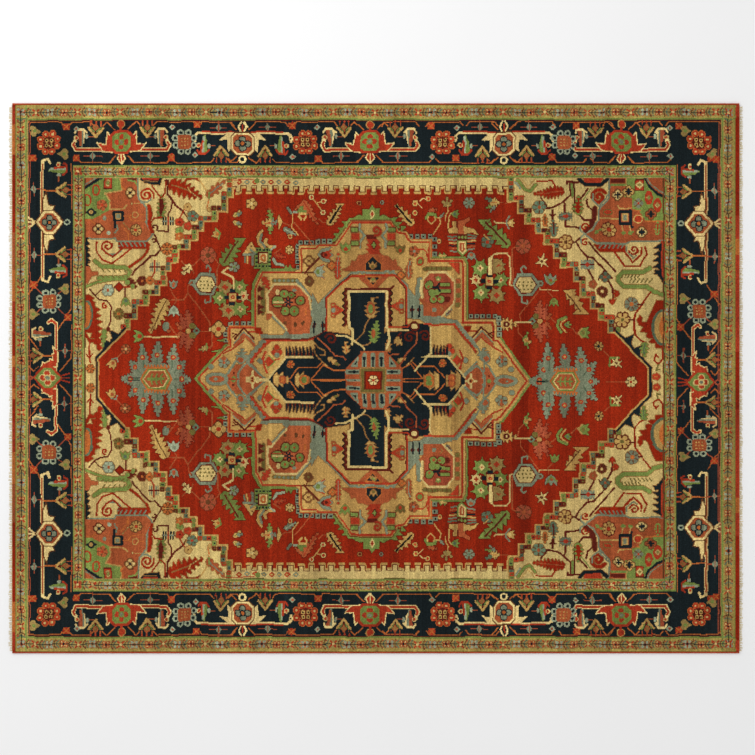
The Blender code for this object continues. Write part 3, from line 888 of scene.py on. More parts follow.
def corner_stems(s):
    """The red stems, leaves and combs on the cream of a corner."""
    s.edged("brick", "navy", 0.4, (-117.5, 101), (-107.5, 101), (-108.5, 99), (-116.5, 99))
    s.patch("navy", (-118.4, 101), (-116.6, 98.6), (-109, 98.6), (-106.8, 101), (-108, 96.6),
        (-109.5, 97.4), (-113, 97.2), (-115.6, 97.8))
    spiral(s, "slate", -114.2, 91.3, 4.3, 0.55, -2.6, 0.9)
    spiral(s, "madder", -114.4, 91.6, 3.6, 1.7, -0.4, 1.0)
    s.line("madder", 1.8, (-113.5, 86), (-112.7, 82), (-113, 77.5), (-111.8, 73.2))
    s.line("madder", 0.8, (-110.4, 79.8), (-112.3, 77.5))
    s.leaf("green", None, -107, 79.5, -107, 92, 5.2, 6)
    s.patch("maroon", (-108.2, 90), (-106.2, 90), (-105.8, 84), (-107, 80.5), (-108.4, 84))
    s.line("madder", 0.8, (-112, 96.5), (-107.5, 90.5), (-104.8, 93), (-104.8, 99.5))
    s.line("madder", 0.9, (-110.5, 80), (-106.6, 80.3))
    s.line("maroon", 1.0, (-105.5, 99.3), (-104, 99.3), (-103.7, 92), (-100, 86.5), (-96, 83.5),
        (-93, 78.5))
    s.line("maroon", 0.8, (-103.7, 91.5), (-101.8, 88.5), (-101.6, 85), (-103.4, 82), (-103.5, 80))
    s.line("madder", 0.6, (-96, 83.2), (-97.8, 79.5), (-97.8, 77))
    s.line("madder", 0.6, (-95.8, 83.5), (-94.5, 85.2))
    s.line("gold", 0.6, (-94.8, 82), (-93, 79), (-91, 77.8), (-88.5, 78.6))
    comb(s, "navy", -103.5, 78.5, 6, 3.8, 5)
    s.line("slate", 0.6, (-106, 78.5), (-101, 78.5))
    s.line("brick", 0.7, (-103.5, 80.3), (-103.5, 76.5))
    s.line("maroon", 0.9, (-103.4, 76), (-103.3, 73.7), (-108.4, 73.7))
    spiral(s, "maroon", -110.3, 75.3, 1.9, 0.8, -0.8, 0.9)
    spiral(s, "maroon", -110.6, 68.4, 1.5, 0.6, 2.4, 0.9, -1)
    s.line("maroon", 0.9, (-110.6, 71.6), (-107, 64.8), (-110, 61.4), (-112.6, 61), (-120, 54),
        (-121.3, 51.6))
    s.flower("orange", "brown", -104, 65, 3.2, count=8)
    s.line("gold", 0.5, (-106.5, 65), (-102, 65))
    s.patch("madder", (-128.5, 68), (-113.7, 67.8), (-113.7, 65), (-128.5, 65))
    for k in range(6):
        s.line("slate", 0.7, (-127.6 + 2.3 * k, 67.8), (-126.4 + 2.3 * k, 65.9))
    s.line("madder", 1.1, (-113.2, 66.8), (-114, 63), (-118, 59), (-123, 55.4))
    spiral(s, "madder", -133.8, 66.3, 3.0, 1.4, -2.6, 1.0, -1)
    s.line("slate", 1.0, (-128.4, 66), (-127.6, 63.6), (-129.8, 62), (-133, 61.8))
    s.line("madder", 0.9, (-136.8, 65.5), (-134.6, 62.5), (-131.5, 60.6), (-127, 64.6), (-128.5, 65.4))
    s.line("madder", 0.9, (-139.2, 68.5), (-139.4, 63), (-136.8, 59.2), (-131.5, 57.4), (-127, 61),
        (-121.8, 65.2))
    for v in (68.5, 65.5, 62.5, 59.5, 56.5):
        s.patch("navy", (-146, v - 1.6), (-142.6, v - 1), (-144.2, v + 0.6), (-142.6, v + 1.6),
            (-146, v + 1.9))
    s.patch("brick", (-148, 69), (-145, 69), (-145, 54), (-148, 54))
    # The green horseshoe with its ticks
    s.line("green", 2.0, (-140.5, 58.6), (-137, 56), (-125, 55.3), (-122.6, 53.4), (-124, 50.8),
        (-128, 50.2), (-138.5, 50))
    for k in range(6):
        s.line("olive", 0.6, (-136.5 + 2.6 * k, 54.6), (-135.3 + 2.6 * k, 52.9))
        s.line("olive", 0.6, (-137 + 2.6 * k, 51.2), (-136 + 2.6 * k, 50.2))
    s.line("green", 1.2, (-145, 45.7), (-139.5, 48), (-131, 49.4), (-124, 49.2))
    s.patch("coral", (-148, 56), (-143.5, 56), (-142, 53.2), (-138.8, 53), (-138.8, 51.6), (-142, 51.2),
        (-144, 47.5), (-148, 47))
    s.edged("madder", "maroon", 0.5, (-128, 48), (-125.5, 45.5), (-128, 43.2), (-130.4, 45.5))
    s.line("madder", 0.8, (-125.5, 45.6), (-121.5, 45.6))
    s.leaf("maroon", None, -124, 49.5, -119.4, 45.2, 4.5, 4)
    s.disc("green", -123.8, 48, 1.2)
    s.disc("green", -121.2, 46, 1.1)
    s.line("maroon", 0.8, (-124.8, 45), (-124.8, 40))
    s.tulip("green", "teal", -124.9, 38.5, 2.6, 270)
    s.flower("sky", "coral", -133.6, 44, 2.7, "slate", count=6)
    s.line("maroon", 0.8, (-143, 44.3), (-140.2, 41.2), (-137.8, 39.3), (-134, 38.6), (-132.4, 36),
        (-132, 29), (-133.4, 25.5))
    s.line("maroon", 0.6, (-139.8, 41.8), (-137.5, 44.2), (-136, 44.2))
    s.flower("maroon", "orange", -116.5, 48.7, 2.4, count=6)
    s.flower("orange", "brown", -112.8, 48.8, 1.7)
    comb(s, "slate", -110.6, 55.6, 5.4, 4.0, 5)
    s.line("brick", 0.8, (-110.6, 59), (-110.6, 53), (-112, 50.5))
    for x, v, petal, middle, reach in ((-93.8, 85.6, "gold", "brown", 1.8),
            (-91.5, 81, "teal", "brick", 2.6), (-98, 78, "brick", "maroon", 1.9),
            (-94, 76, "brick", "coral", 1.9), (-98, 73.8, "green", "olive", 1.8),
            (-98, 71, "orange", "gold", 1.9)):
        s.flower(petal, middle, x, v, reach, count=5)
    s.leaf("madder", None, -103, 98, -86.5, 90, 9.0, 7)
    s.line("cream", 0.7, (-101.5, 96.8), (-94, 94), (-87.5, 89.8))
    s.line("gold", 0.5, (-93.5, 95.3), (-92.5, 92.8))
    s.patch("madder", (-95.5, 98.6), (-93.5, 101), (-89, 101), (-87.8, 98.4), (-90.5, 99.8), (-93, 99.8))
    s.edged("cream", "gold", 0.8, (-89, 101), (-84, 93.3), (-82.4, 93.3), (-77, 101))
    s.leaf("coral", "slate", -84, 90.8, -75.5, 99, 4.6, 4)
    s.line("green", 0.6, (-83, 93), (-83, 89.5))
    s.line("orange", 0.6, (-83, 89.5), (-84, 85), (-82.6, 83.4))
    s.disc("gold", -82.9, 84.2, 0.9)


def corner_point(s):
    """The low end of a corner: the gold oval, the saw-edged red leaf and small flowers."""
    s.leaf("madder", None, -145, 41.5, -137.5, 14, 9.5, 9)
    s.patch("cream", (-141, 37), (-138, 34.5), (-135.5, 35.5), (-134, 38), (-139, 39))
    s.disc("madder", -146, 32, 6.2, 9.5)
    s.disc("teal", -144.4, 31.8, 3.2, 7.2)
    s.disc("orange", -144.6, 31.8, 2.3, 6.2)
    spiral(s, "madder", -135.4, 36, 1.6, 1.0, 1.5, 0.9)
    s.line("madder", 1.4, (-144.8, 22), (-143, 18.8), (-140, 18.8), (-139, 20.5), (-140.5, 21.8))
    s.line("madder", 0.9, (-143, 18), (-142.6, 8))
    s.line("madder", 0.7, (-144.4, 12), (-142.8, 10), (-141.4, 12))
    s.flower("orange", "cream", -142.7, 4.8, 2.1, count=6)
    s.leaf("green", None, -135.2, 24.5, -136, 15.5, 3.4, 4)
    s.disc("maroon", -133.4, 24.4, 1.0)
    s.flower("olive", "orange", -128.2, 32.2, 2.8, count=7)


def east_patch(s):
    """The coral and green patch of the second half's outer corners."""
    s.patch("coral", (116.5, 101), (117, 89.5), (112, 85.5), (111.5, 79), (109, 74.5), (104.8, 72.2),
        (110.6, 67.5), (125, 67.5), (126.5, 68.5), (148, 68.5), (148, 101))
    s.patch("green", (125.5, 101), (148, 101), (148, 79), (134.5, 79), (131.5, 84), (128.5, 84.5),
        (128.5, 90), (124.5, 90.5), (125.5, 93))
    s.patch("coral", (134.6, 101), (146, 101), (146, 91), (141, 92.5), (137, 96))
    s.line("slate", 0.7, (135.6, 100.4), (138, 96.6), (142, 93.4), (145, 92))
    s.line("navy", 1.3, (134.6, 100), (137, 95.6), (141, 92), (145, 90.6))
    s.patch("maroon", (117.4, 99.6), (125, 99.6), (125, 97.6), (117.4, 97.6))
    s.line("green", 1.2, (118, 96.6), (125, 96.6))
    s.line("gold", 0.5, (125.6, 100), (125.6, 95.4), (123, 92.4))
    s.edged("brick", "maroon", 0.5, (130, 93.7), (134, 93.7), (134, 99.2), (130, 99.2))
    for x, v, reach in ((132, 96.6, 1.8), (136.5, 90.2, 1.2), (141, 86.5, 1.5)):
        if x > 135:
            s.disc("brick", x, v, reach + 0.8, 3.6)
        s.flower("cream", "green", x, v, reach)
    for x, v, petal in ((126.8, 93.2, "gold"), (137.6, 82, "coral"), (121.3, 91.5, "cream"),
            (133, 73, "cream")):
        s.flower(petal, "navy", x, v, 2.4, "brown")
        s.line("navy", 0.9, (x - 1.3, v), (x + 1.3, v))
        s.line("navy", 0.9, (x, v - 1.4), (x, v + 1.4))
    s.flower("slate", "brick", 131.3, 87.4, 2.2)
    s.line("orange", 0.5, (134.8, 78.4), (146, 78.4))
    s.line("orange", 0.5, (128.8, 83.7), (132.4, 83.7))
    s.edged("rose", "navy", 1.3, (122.4, 77.6), (127.8, 77.6), (127.8, 83.6), (122.4, 83.6))
    s.edged("slate", "gold", 0.6, (123.8, 79), (126.2, 79), (126.2, 82.4), (123.8, 82.4))
    s.line("navy", 1.0, (128, 77.4), (128.4, 75.8))
    s.ring("olive", "brick", 116, 83, 2.4, 0.6, high=1.5)
    s.line("gold", 0.5, (111.8, 80), (121.5, 80))
    s.line("gold", 0.5, (121.4, 86.6), (122, 85.2), (128, 85))
    s.flower("gold", "brick", 116.6, 74.3, 3.8, "maroon", count=8)
    s.leaf("green", None, 109.8, 72.4, 113.2, 74.6, 2.0, 2)
    for x in (124, 127.8):
        s.disc("green", x, 73, 1.3, 1.0)
        s.line("gold", 0.4, (x, 74), (x - 0.6, 76.6))
    s.ring("gold", "brick", 131.3, 79.5, 2.2, 0.5)
    s.leaf("green", "brick", 141, 71.6, 141, 78.4, 3.6, 4)
    s.line("slate", 0.9, (116.6, 100), (117, 90), (112.6, 85.6), (111.4, 84), (111.4, 79), (108.6, 74),
        (104.6, 72.2), (110.8, 67.4), (125, 67.4), (127.2, 68.4), (146, 68.6))


def east_stems(s):
    """The red stems, leaves and combs on the cream of the second half's corners."""
    s.line("green", 1.4, (71.2, 99), (74.6, 94.2), (77.4, 93.4), (80, 97))
    s.line("gold", 0.6, (72.4, 100), (76, 95.6), (80, 100))
    s.line("slate", 1.0, (69.8, 98.4), (72.2, 95))
    s.line("madder", 0.9, (80.5, 98.8), (88.4, 98.8), (90.2, 95.8))
    s.leaf("madder", "coral", 94.4, 93.6, 79, 92, 6.0, 9)
    s.line("green", 1.2, (98.4, 97.4), (98.4, 91.5))
    for run in (((102, 98), (95.8, 98.2), (96, 97)), ((97.4, 97.8), (97.4, 92), (92.6, 87.6), (88.6, 85.6),
            (84.6, 85.2)), ((99.3, 98), (99.3, 84), (101.6, 82), (104, 79), (109, 78.9)),
            ((102.4, 90), (106, 94.6)), ((105.6, 89.4), (106.4, 86), (109, 83)),
            ((94, 88.6), (94.8, 87), (94.8, 75.8), (99.4, 75.6), (102.6, 74.8)), ((88.8, 84.5), (88.8, 79)),
            ((87.6, 82.2), (88.8, 81), (90, 82.2)), ((83, 89.8), (85.8, 86)),
            ((96, 68), (100, 68), (103, 70.4)), ((100.4, 67.8), (102, 65), (106.2, 60.6), (109, 60.2),
            (114, 54.6)), ((107, 68), (110, 64), (119.8, 53.4)),
            ((106.2, 60), (106.4, 54.6), (109, 50), (108.8, 48)), ((111.8, 49.4), (114.4, 54), (118, 50)),
            ((116.4, 48.4), (118.4, 45), (118.6, 39.6))):
        s.line("maroon", 1.0, *run)
    s.leaf("green", None, 101.4, 81.8, 101.4, 91.6, 5.6, 5)
    s.leaf("madder", None, 101.4, 83, 101.4, 90.6, 3.6, 4)
    s.line("green", 0.6, (103.4, 89), (107.6, 95))
    s.patch("brick", (104, 101), (114, 101), (112, 97), (105, 97))
    s.line("navy", 1.7, (102, 99.4), (104.6, 96.8), (112.4, 96.6), (115.8, 99.4))
    spiral(s, "madder", 111.4, 90.5, 4.0, 1.5, 0.6, 1.6)
    s.line("slate", 0.9, (108.6, 92), (108.4, 89), (111.6, 85.8), (114.8, 89.5), (116.6, 91.6))
    s.line("maroon", 2.2, (109.6, 84.8), (109.2, 80), (108.2, 76.4), (105.4, 73.6))
    for x, v, yarn, wide in ((95, 81, "teal", 7.2), (106.2, 56.8, "slate", 6.8)):
        s.disc("slate", x, v, 3.2, 1.9)
        comb(s, yarn, x, v, wide, 4.2, 6)
        s.disc("brick", x, v, 1.1)
    for petal, middle, x, v, reach, count in (("teal", "coral", 81.8, 85.4, 3.4, 6),
            ("gold", "brown", 95, 68, 3.4, 7), ("coral", "cream", 109, 47, 1.9, 5),
            ("maroon", "cream", 113.4, 43.3, 2.8, 8), ("teal", "coral", 114.8, 50.6, 2.2, 4),
            ("slate", "orange", 128.2, 37, 3.6, 7), ("gold", "olive", 123.4, 29.2, 3.6, 6),
            ("brick", "orange", 140.4, 0.8, 1.7, 5)):
        s.flower(petal, middle, x, v, reach, "maroon" if petal == "gold" else None, count)
    s.leaf("teal", "maroon", 89, 71, 89, 79.6, 4.4, 5)
    s.leaf("orange", "brown", 85, 76, 85, 82, 3.0, 4)
    spiral(s, "madder", 104.8, 75.4, 2.2, 1.1, 0.2, 0.9)
    spiral(s, "madder", 105, 67.8, 2.0, 1.1, 1.2, 0.9)
    s.line("slate", 0.7, (104.6, 72.2), (102.6, 74), (102.6, 76))
    s.line("slate", 0.7, (104.6, 72.2), (102.8, 70), (103.2, 67.4))
    s.patch("madder", (109.4, 66.8), (125, 66.8), (125, 63.4), (112, 63.4))
    for k in range(6):
        s.line("slate", 0.7, (113 + 2.2 * k, 67), (112 + 2.2 * k, 65))
    s.line("madder", 1.0, (119.4, 63), (124.4, 56), (132.4, 56), (135.6, 62), (134.6, 65.6))
    s.line("madder", 1.0, (124.4, 63), (128.8, 57.8), (132.6, 61.4), (133, 65))
    s.line("slate", 0.7, (126, 66.6), (125.8, 63), (129, 60), (130.6, 61.2))
    spiral(s, "madder", 129.4, 64.2, 2.6, 1.3, 3.4, 1.0)
    s.patch("brick", (148, 69), (142.6, 69), (142.6, 50), (148, 47))
    for v in (66, 62.8, 59.6, 56.4, 53.2):
        s.patch("navy", (143, v + 2), (138.4, v - 1.4), (141, v - 1.2), (143, v - 3))
    s.line("navy", 1.4, (140.4, 53.6), (145, 47.4))
    for x, v in ((120.6, 42.3), (118.6, 38.6)):
        s.tulip("madder", "brick", x, v, 1.8, 180 if x > 120 else 90)
    s.line("green", 2.0, (137.4, 55), (134, 53), (123.6, 53), (121, 50.6), (121, 48.6), (124, 45.8),
        (136, 45.8), (139.6, 42.8), (144, 41.6))
    for k in range(6):
        s.line("olive", 0.7, (122.8 + 1.7 * k, 50.2), (123.8 + 1.7 * k, 51.8))
        s.line("olive", 0.7, (127 + 2 * k, 47.8), (128.2 + 2 * k, 49.6))
    s.line("madder", 0.9, (137.8, 43), (129.6, 32), (129.6, 22), (132.6, 18.8), (134.4, 18))
    s.line("maroon", 0.7, (133.4, 36.8), (131.4, 36.8))
    s.line("maroon", 0.7, (126.8, 29.2), (129.4, 29.2))
    s.leaf("green", "teal", 134.4, 18, 134.4, 10.6, 4.6, 4)
    s.patch("madder", (140.5, 39), (138.8, 35.5), (137, 31.5), (135.4, 28), (133.6, 28), (133.2, 30.4),
        (132, 31.6), (131, 29), (132, 26.4), (134, 25.6), (132.2, 23.4), (135.8, 22.8), (135.2, 20.4),
        (138.4, 19.8), (136.2, 18), (139.8, 17.4), (139.6, 15.4), (146, 14.8), (146, 39))
    for yarn, wide, high in (("teal", 6.4, 9.2), ("gold", 5.0, 7.8), ("orange", 2.4, 5.4)):
        s.disc(yarn, 144.2, 25.4, wide, high)
    s.line("madder", 0.9, (143.4, 14.6), (143.4, 9.6), (141.4, 7), (139.2, 9), (140, 12), (141.2, 10.6))
    s.line("olive", 0.9, (141.2, 6.8), (140.4, 4), (142, 4.4))


spandrel_wool = wool("spandrel_wool", 0.22, 0.25, 0.22)
stepped_edge(STEPS_WEST, POINT_WEST, FIELD_WEST, 1)
stepped_edge(STEPS_EAST, POINT_EAST, FIELD_EAST, -1)
for draw in (corner_patch, corner_stems, corner_point, east_patch, east_stems):
    draw(field)
for edge, beyond in ((FIELD_WEST, -1), (FIELD_EAST, 1)):
    Stencil().line("brown", 0.5, (edge - beyond * 0.2, -FOLD_ROOM), (edge - beyond * 0.2, field_north))


# Cream margins along the long sides of the field, between the corners, with a row of teeth towards the
# red ground that is drawn with a gold line.
TEETH = (-68.5, -63, -58, -52.7, -47.5, -42.5, -37.3, -32, -26.5, -22, -17, -11.7, -6.5, -1, 4.5, 10, 15.8,
    21, 26, 30.7, 36, 41.5, 46.5, 51.5, 57, 62.5)
MARGIN_LOW = 95.6
TOOTH_LOW = 93.0
margin = Stencil()
outline = [(STEPS_WEST[0][0], MARGIN_LOW)]
for x in TEETH:
    outline += [(x - 1.3, MARGIN_LOW), (x - 1.3, TOOTH_LOW), (x + 1.3, TOOTH_LOW), (x + 1.3, MARGIN_LOW)]
outline.append((STEPS_EAST[0][0], MARGIN_LOW))
margin.patch("cream", (STEPS_WEST[0][0], field_north + 1), *outline, (STEPS_EAST[0][0], field_north + 1),
    area="margin")
margin.line("gold", 0.9, *[(x, v - 0.4) for x, v in outline])
margin.line("maroon", 0.4, *[(x, v + 0.5) for x, v in outline])
for k, x in enumerate(np.arange(-68, -38, 4.0)):
    floret_yarn = ("brick", "slate")[k % 2]
    margin.flower(floret_yarn, "gold", x, 98.0, 1.2)
margin.line("brick", 0.6, (-75, 99.4), (-61, 99.4))
margin.disc("green", -59, 98.6, 1.3)
margin.line("brown", 0.4, (-71, field_north - 0.1), (66, field_north - 0.1))


# Medallion: gold, set with a stepped pale-blue band, coral eight-sided panels and navy panels round a
# square boss. It is one area of the cartoon, and both its halves hang on the rug's middle line.
OUTLINE = ((-90.5, -4), (-90.5, -0.3), (-74.5, 17.3), (-73.3, 17.3), (-73.3, 26), (-61.6, 26), (-61.6, 47),
    (-58.5, 53), (-57, 54.6), (-38.2, 54.6), (-38.2, 66.8), (-20.6, 67.4), (-12.4, 78.8), (8, 78.8),
    (11.5, 74), (15.4, 73.6), (18, 69.6), (28.6, 69.6), (28.6, 60.6), (44.5, 60.6), (46, 57), (46, 29.6),
    (60.6, 29.6), (60.6, 20.5), (63, 20), (78.8, -1.5), (78.8, -4))
medallion_wool = wool("medallion_wool", 0.25, 0.28, 0.25)
gold = Stencil()


def checks(stencil, *runs):
    """Pale squares with navy hearts in a row outside the medallion's steps."""
    for x0, v0, x1, v1 in runs:
        count = max(2, round(math.hypot(x1 - x0, v1 - v0) / 3.0))
        for k in range(count + 1):
            cx, cv = x0 + (x1 - x0) * k / count, v0 + (v1 - v0) * k / count
            block(stencil, "slate", cx - 1.1, cx + 1.1, cv - 1.1, cv + 1.1)
            stencil.disc("navy", cx, cv, 0.55)


checks(gold, (-72.5, 27.2, -62.5, 27.2), (-74.7, 25, -74.7, 19), (-38.8, 55.5, -38.8, 66),
    (-37.5, 68.2, -22.5, 68.4), (17.5, 70.8, 27.5, 70.8), (29.8, 69.5, 29.8, 62), (47.5, 31, 60, 31),
    (61.8, 30, 61.8, 22))
gold.patch("gold", *OUTLINE, area="medallion")
gold.line("green", 1.1, (-90.5, -4), (-90, -0.3), (-74.8, 16.8))
gold.line("brick", 0.8, (-88.6, -0.3), (-74, 15.4), (-72.7, 15.6), (-72.7, 25.2), (-59.8, 25.2),
    (-59.8, 46), (-56.6, 52.7), (-36.8, 52.9), (-36.8, 65.3), (-29.5, 65.3), (-28.5, 66.4), (-19.6, 66.4),
    (-11.8, 77.8))
gold.line("orange", 0.6, (-73.3, 17), (-73.3, 26), (-61, 26))
gold.line("green", 1.1, (-61.2, 26.5), (-61.2, 47), (-58.4, 52.8), (-57, 54.2), (-40, 54.2))
gold.line("orange", 0.6, (-38, 54.6), (-38, 66.6), (-30, 66.6))
gold.line("green", 1.1, (-21, 68.4), (-12.8, 79.6), (8.6, 79.6), (11.6, 75.4))
for x, v, turn in ((-19.4, 71.2, -1), (-17.2, 74, -1), (-15, 77, -1), (9.6, 79.2, 1), (11.4, 76.6, 1),
        (13.4, 74.8, 1)):
    gold.patch("green", (x - turn * 0.6, v - 1.8), (x + turn * 1.9, v + 1.2), (x - turn * 0.8, v + 1.4))
gold.patch("green", (-12.4, 79.4), (-8, 82), (-6, 80.8), (-6.2, 84.8), (-3.4, 84.6), (-1.8, 87),
    (-0.4, 84.8), (2, 84.6), (1.6, 80.8), (4, 81.8), (8.4, 79.4))
gold.edged("brick", "cream", 0.4, (-1.8, 79.8), (-2.9, 82), (-1.8, 84.4), (-0.8, 82))
gold.line("brick", 1.0, (-11.8, 77.8), (7.6, 77.8), (11, 72.8), (14.6, 72.2), (17.6, 68), (26.9, 68),
    (26.9, 58.6), (43.2, 58.6), (43.6, 55), (43.6, 27.8), (58.8, 27.8), (58.8, 19), (61, 18.6), (76, -1.5),
    (76, -4))
gold.line("green", 1.1, (28.8, 60.4), (44.4, 60.4), (45.8, 57), (45.8, 29.8))
gold.line("orange", 0.6, (18, 69.4), (28.2, 69.4), (28.2, 60.8))
gold.line("green", 1.0, (62.5, 20.2), (78.5, -1.5))
for x, v, out_x, out_v in ((-76, 18.3, -3.6, 0.6), (-79.5, 13, -2.6, 0.4), (-62, 38.3, -1.8, 0.8),
        (-62, 33, -1.8, 0.4)):
    gold.patch("green", (x, v), (x + out_x, v + out_v), (x + 2.4, v + 1.6))
for x in (-44.5, -42.5, 32.5, 34.5):
    gold.patch("green", (x - 1.1, 54.6 if x < 0 else 60.8), (x, 57.2 if x < 0 else 63.2),
        (x + 1.1, 54.6 if x < 0 else 60.8))


def side_tip(s):
    """The pointed end of the medallion with its oval, coral block and ivory cross."""
    s.patch("coral", (-75, -4), (-75, 0.3), (-70, 6.8), (-66, 6.8), (-64, 9.6), (-54.6, -0.2), (-54.6, -4))
    s.line("slate", 0.9, (-75, 0.6), (-70.5, 7.6), (-68.6, 9.4))
    s.line("slate", 1.0, (-68.8, -4), (-68.8, 2.6), (-66.6, 5.8), (-64.4, 7.8), (-55, -0.2))
    s.disc("slate", -79.2, -0.5, 6.0, 3.4)
    s.disc("coral", -79.2, -0.5, 4.0, 1.8)
    s.disc("slate", -79.6, -0.5, 0.9)
    s.disc("slate", -82.0, 5.8, 1.4)
    s.disc("green", -71, -0.3, 1.1, 1.5)
    s.line("brick", 0.5, (-73, -0.3), (-69, -0.3))
    s.disc("maroon", -71, 2.5, 0.6)
    s.line("cream", 1.4, (-64.5, 0), (-58.6, 0))
    s.line("cream", 1.4, (-61.5, -3.2), (-61.5, 3.2))
    s.diamond("cream", -61.5, 0, 2.4)
    s.ring("orange", "maroon", -61.5, 0, 1.0, 0.4)
    s.line("cream", 0.8, (-59, -0.2), (-53, -0.2))


def shoulder(s):
    """The gold slope above the tip, with its flowers and the pale saw-edged band."""
    s.flower("slate", "coral", -75.5, 7.8, 2.6, count=5)
    s.diamond("coral", -75.5, 9.8, 1.3)
    s.leaf("slate", None, -66.5, 8.6, -66.5, 15, 6.4, 4)
    s.ring("slate", "coral", -67.5, 9.2, 2.1, 0.7)
    s.line("brick", 0.8, (-76, 12.3), (-72, 14.4), (-66.5, 18.5), (-63, 23.2), (-58, 23.2), (-57.3, 21.4))
    s.patch("madder", (-60.5, 25.4), (-57, 25.2), (-56.6, 22), (-59.5, 22.6))
    for yarn, width, drop in (("maroon", 0.9, 0), ("gold", 0.6, 1.2), ("slate", 0.9, 2.0),
            ("coral", 1.4, 3.2)):
        s.line(yarn, width, (-70.4, 19.6 - drop), (-65.6, 25 - drop), (-60.4, 19.6 - drop))
    s.line("maroon", 0.6, (-71.6, 22.6), (-69.4, 22), (-71, 20.6))
    s.line("slate", 0.9, (-62.8, 7.6), (-60, 4.6), (-56, 0.6))
    s.disc("slate", -57.5, 8.5, 1.4)
    s.line("brick", 1.0, (-54.8, 13.2), (-56.4, 9.5), (-55.2, 5.5), (-54, 2.8))
    s.diamond("brick", -53.3, 8.4, 2.4, 2.6)
    s.line("green", 0.6, (-53.3, 11.4), (-50.6, 8.4), (-53.3, 5.4))
    s.flower("brick", "coral", -49.5, 13.8, 2.6, count=3, turn=math.pi / 2)
    s.disc("slate", -49.3, 11.6, 1.3)
    s.line("brick", 0.6, (-50.8, 9), (-48, 9.8))


def coral_panel(s, x, v, tilt):
    """A coral eight-sided panel in a cream outline, with a green flower on a maroon ground."""
    s.patch("coral", (x - 10.6, v - 9), (x - 10.6, v + 3.6), (x - 6.8, v + 9.2), (x + 4.4, v + 9.2),
        (x + 10.2, v + 2.6), (x + 11, v - 4), (x + 11, v - 15.4), (x + 0.2, v - 15.4), (x - 7.6, v - 6.4))
    s.line("cream", 0.9, (x - 7.8, v - 6.4), (x - 8.6, v - 5), (x - 10.6, v - 5), (x - 10.6, v + 4),
        (x - 7, v + 9), (x + 4.2, v + 9), (x + 10, v + 2.8), (x + 11, v - 3.4))
    s.line("cream", 0.9, (x - 7.8, v - 6.4), (x - 1, v - 13.6))
    spots = ((5.8, 0.8, 2.0), (-5.6, 0.2, 2.8), (-2.0, 4.2, 2.0), (-1.6, -4.4, 2.1), (3.0, -4.2, 2.2),
        (1.6, 3.6, 1.5))
    for out_x, out_v, size in spots:
        s.disc("maroon", x + out_x * tilt, v + out_v, size + 0.6)
    for out_x, out_v, size in spots:
        s.disc("green", x + out_x * tilt, v + out_v, size)
        s.disc("brick", x + out_x * tilt, v + out_v, 0.5)
    s.line("cream", 0.6, (x - 7.8 * tilt, v), (x - 2.6 * tilt, v))
    s.line("coral", 0.6, (x - 7.6 * tilt, v - 1.2), (x - 3.6 * tilt, v - 1.2))
    for turn in (0, 60, 120):
        ux, uv = 1.9 * math.cos(math.radians(turn)), 1.9 * math.sin(math.radians(turn))
        s.line("navy", 0.9, (x - ux, v - uv), (x + ux, v + uv))
    s.disc("rose", x, v, 0.6)
    s.disc("cream", x - 5.3 * tilt, v + 5.0, 1.0, 1.6)
    s.disc("slate", x + 3 * tilt, v + 6.0, 0.9)
    s.disc("brown", x - 2 * tilt, v - 10.4, 0.9)
    s.disc("brown", x + 3.5 * tilt, v - 10.8, 0.8, 1.4)
    s.disc("brown", x + 7.2 * tilt, v - 10.2, 0.9)
    s.disc("orange", x + 8.4 * tilt, v - 5, 0.6, 1.4)


def navy_panel(s):
    """A navy six-sided panel in a cream outline at one side of the boss, with gold flowers."""
    s.patch("navy", (-53.2, -4), (-53.2, -0.2), (-45, 10.4), (-31, 10.4), (-31, 20), (-25, 23.5), (-14, 22),
        (-5, 16), (-5, -4))
    s.line("cream", 0.9, (-53.2, -0.2), (-45, 10.3), (-31.2, 10.3))
    for k in range(8):
        x = -45 + 1.8 * k
        s.patch("navy", (x, 11.2), (x + 2, 11.2), (x, 16.2))
        s.patch("maroon", (x + 1, 11.2), (x + 2, 11.2), (x + 1, 13.2))
    s.line("cream", 0.5, (-45, 10.9), (-31.4, 10.9))
    s.line("orange", 0.6, (-43, -0.2), (-38.3, 5.4), (-29.5, 5.4), (-26.6, 8))
    s.line("orange", 0.6, (-32, -0.3), (-26.2, 6.8))
    s.line("orange", 0.7, (-32, -0.8), (-14, -0.9))
    s.line("orange", 0.6, (-26.2, 6.6), (-21, 4), (-14, 3.9))
    s.flower("orange", "brick", -42.3, 7, 2.0, count=6)
    s.leaf("gold", None, -51, -0.3, -43.4, -0.3, 7.6, 3)
    s.ring("coral", "orange", -46.6, -0.4, 1.8, 0.8)
    s.leaf("gold", None, -40.4, -0.3, -32.4, -0.3, 7.4, 3)
    s.ring("orange", "green", -35.4, -0.6, 2.3, 0.9)
    s.line("gold", 0.8, (-31.3, 18.3), (-28.5, 15.2), (-25.6, 13.8), (-25.4, 11.6), (-27.2, 11.8))
    s.line("gold", 0.7, (-31, 17), (-30, 12.5), (-27, 8.4), (-24, 6))
    s.line("coral", 0.7, (-29, 20), (-24, 15.5), (-20.6, 11.6), (-16.4, 11.2), (-14.8, 9.4))
    spiral(s, "maroon", -22.4, 19.6, 3.1, 1.3, 2.8, 1.0, -1)
    s.leaf("gold", None, -24, 10.4, -18, 6.4, 3.4, 3)
    s.disc("olive", -19.6, 7.2, 0.9)
    s.leaf("gold", "orange", -14.6, 12.6, -14.8, 18.6, 4.4, 3)


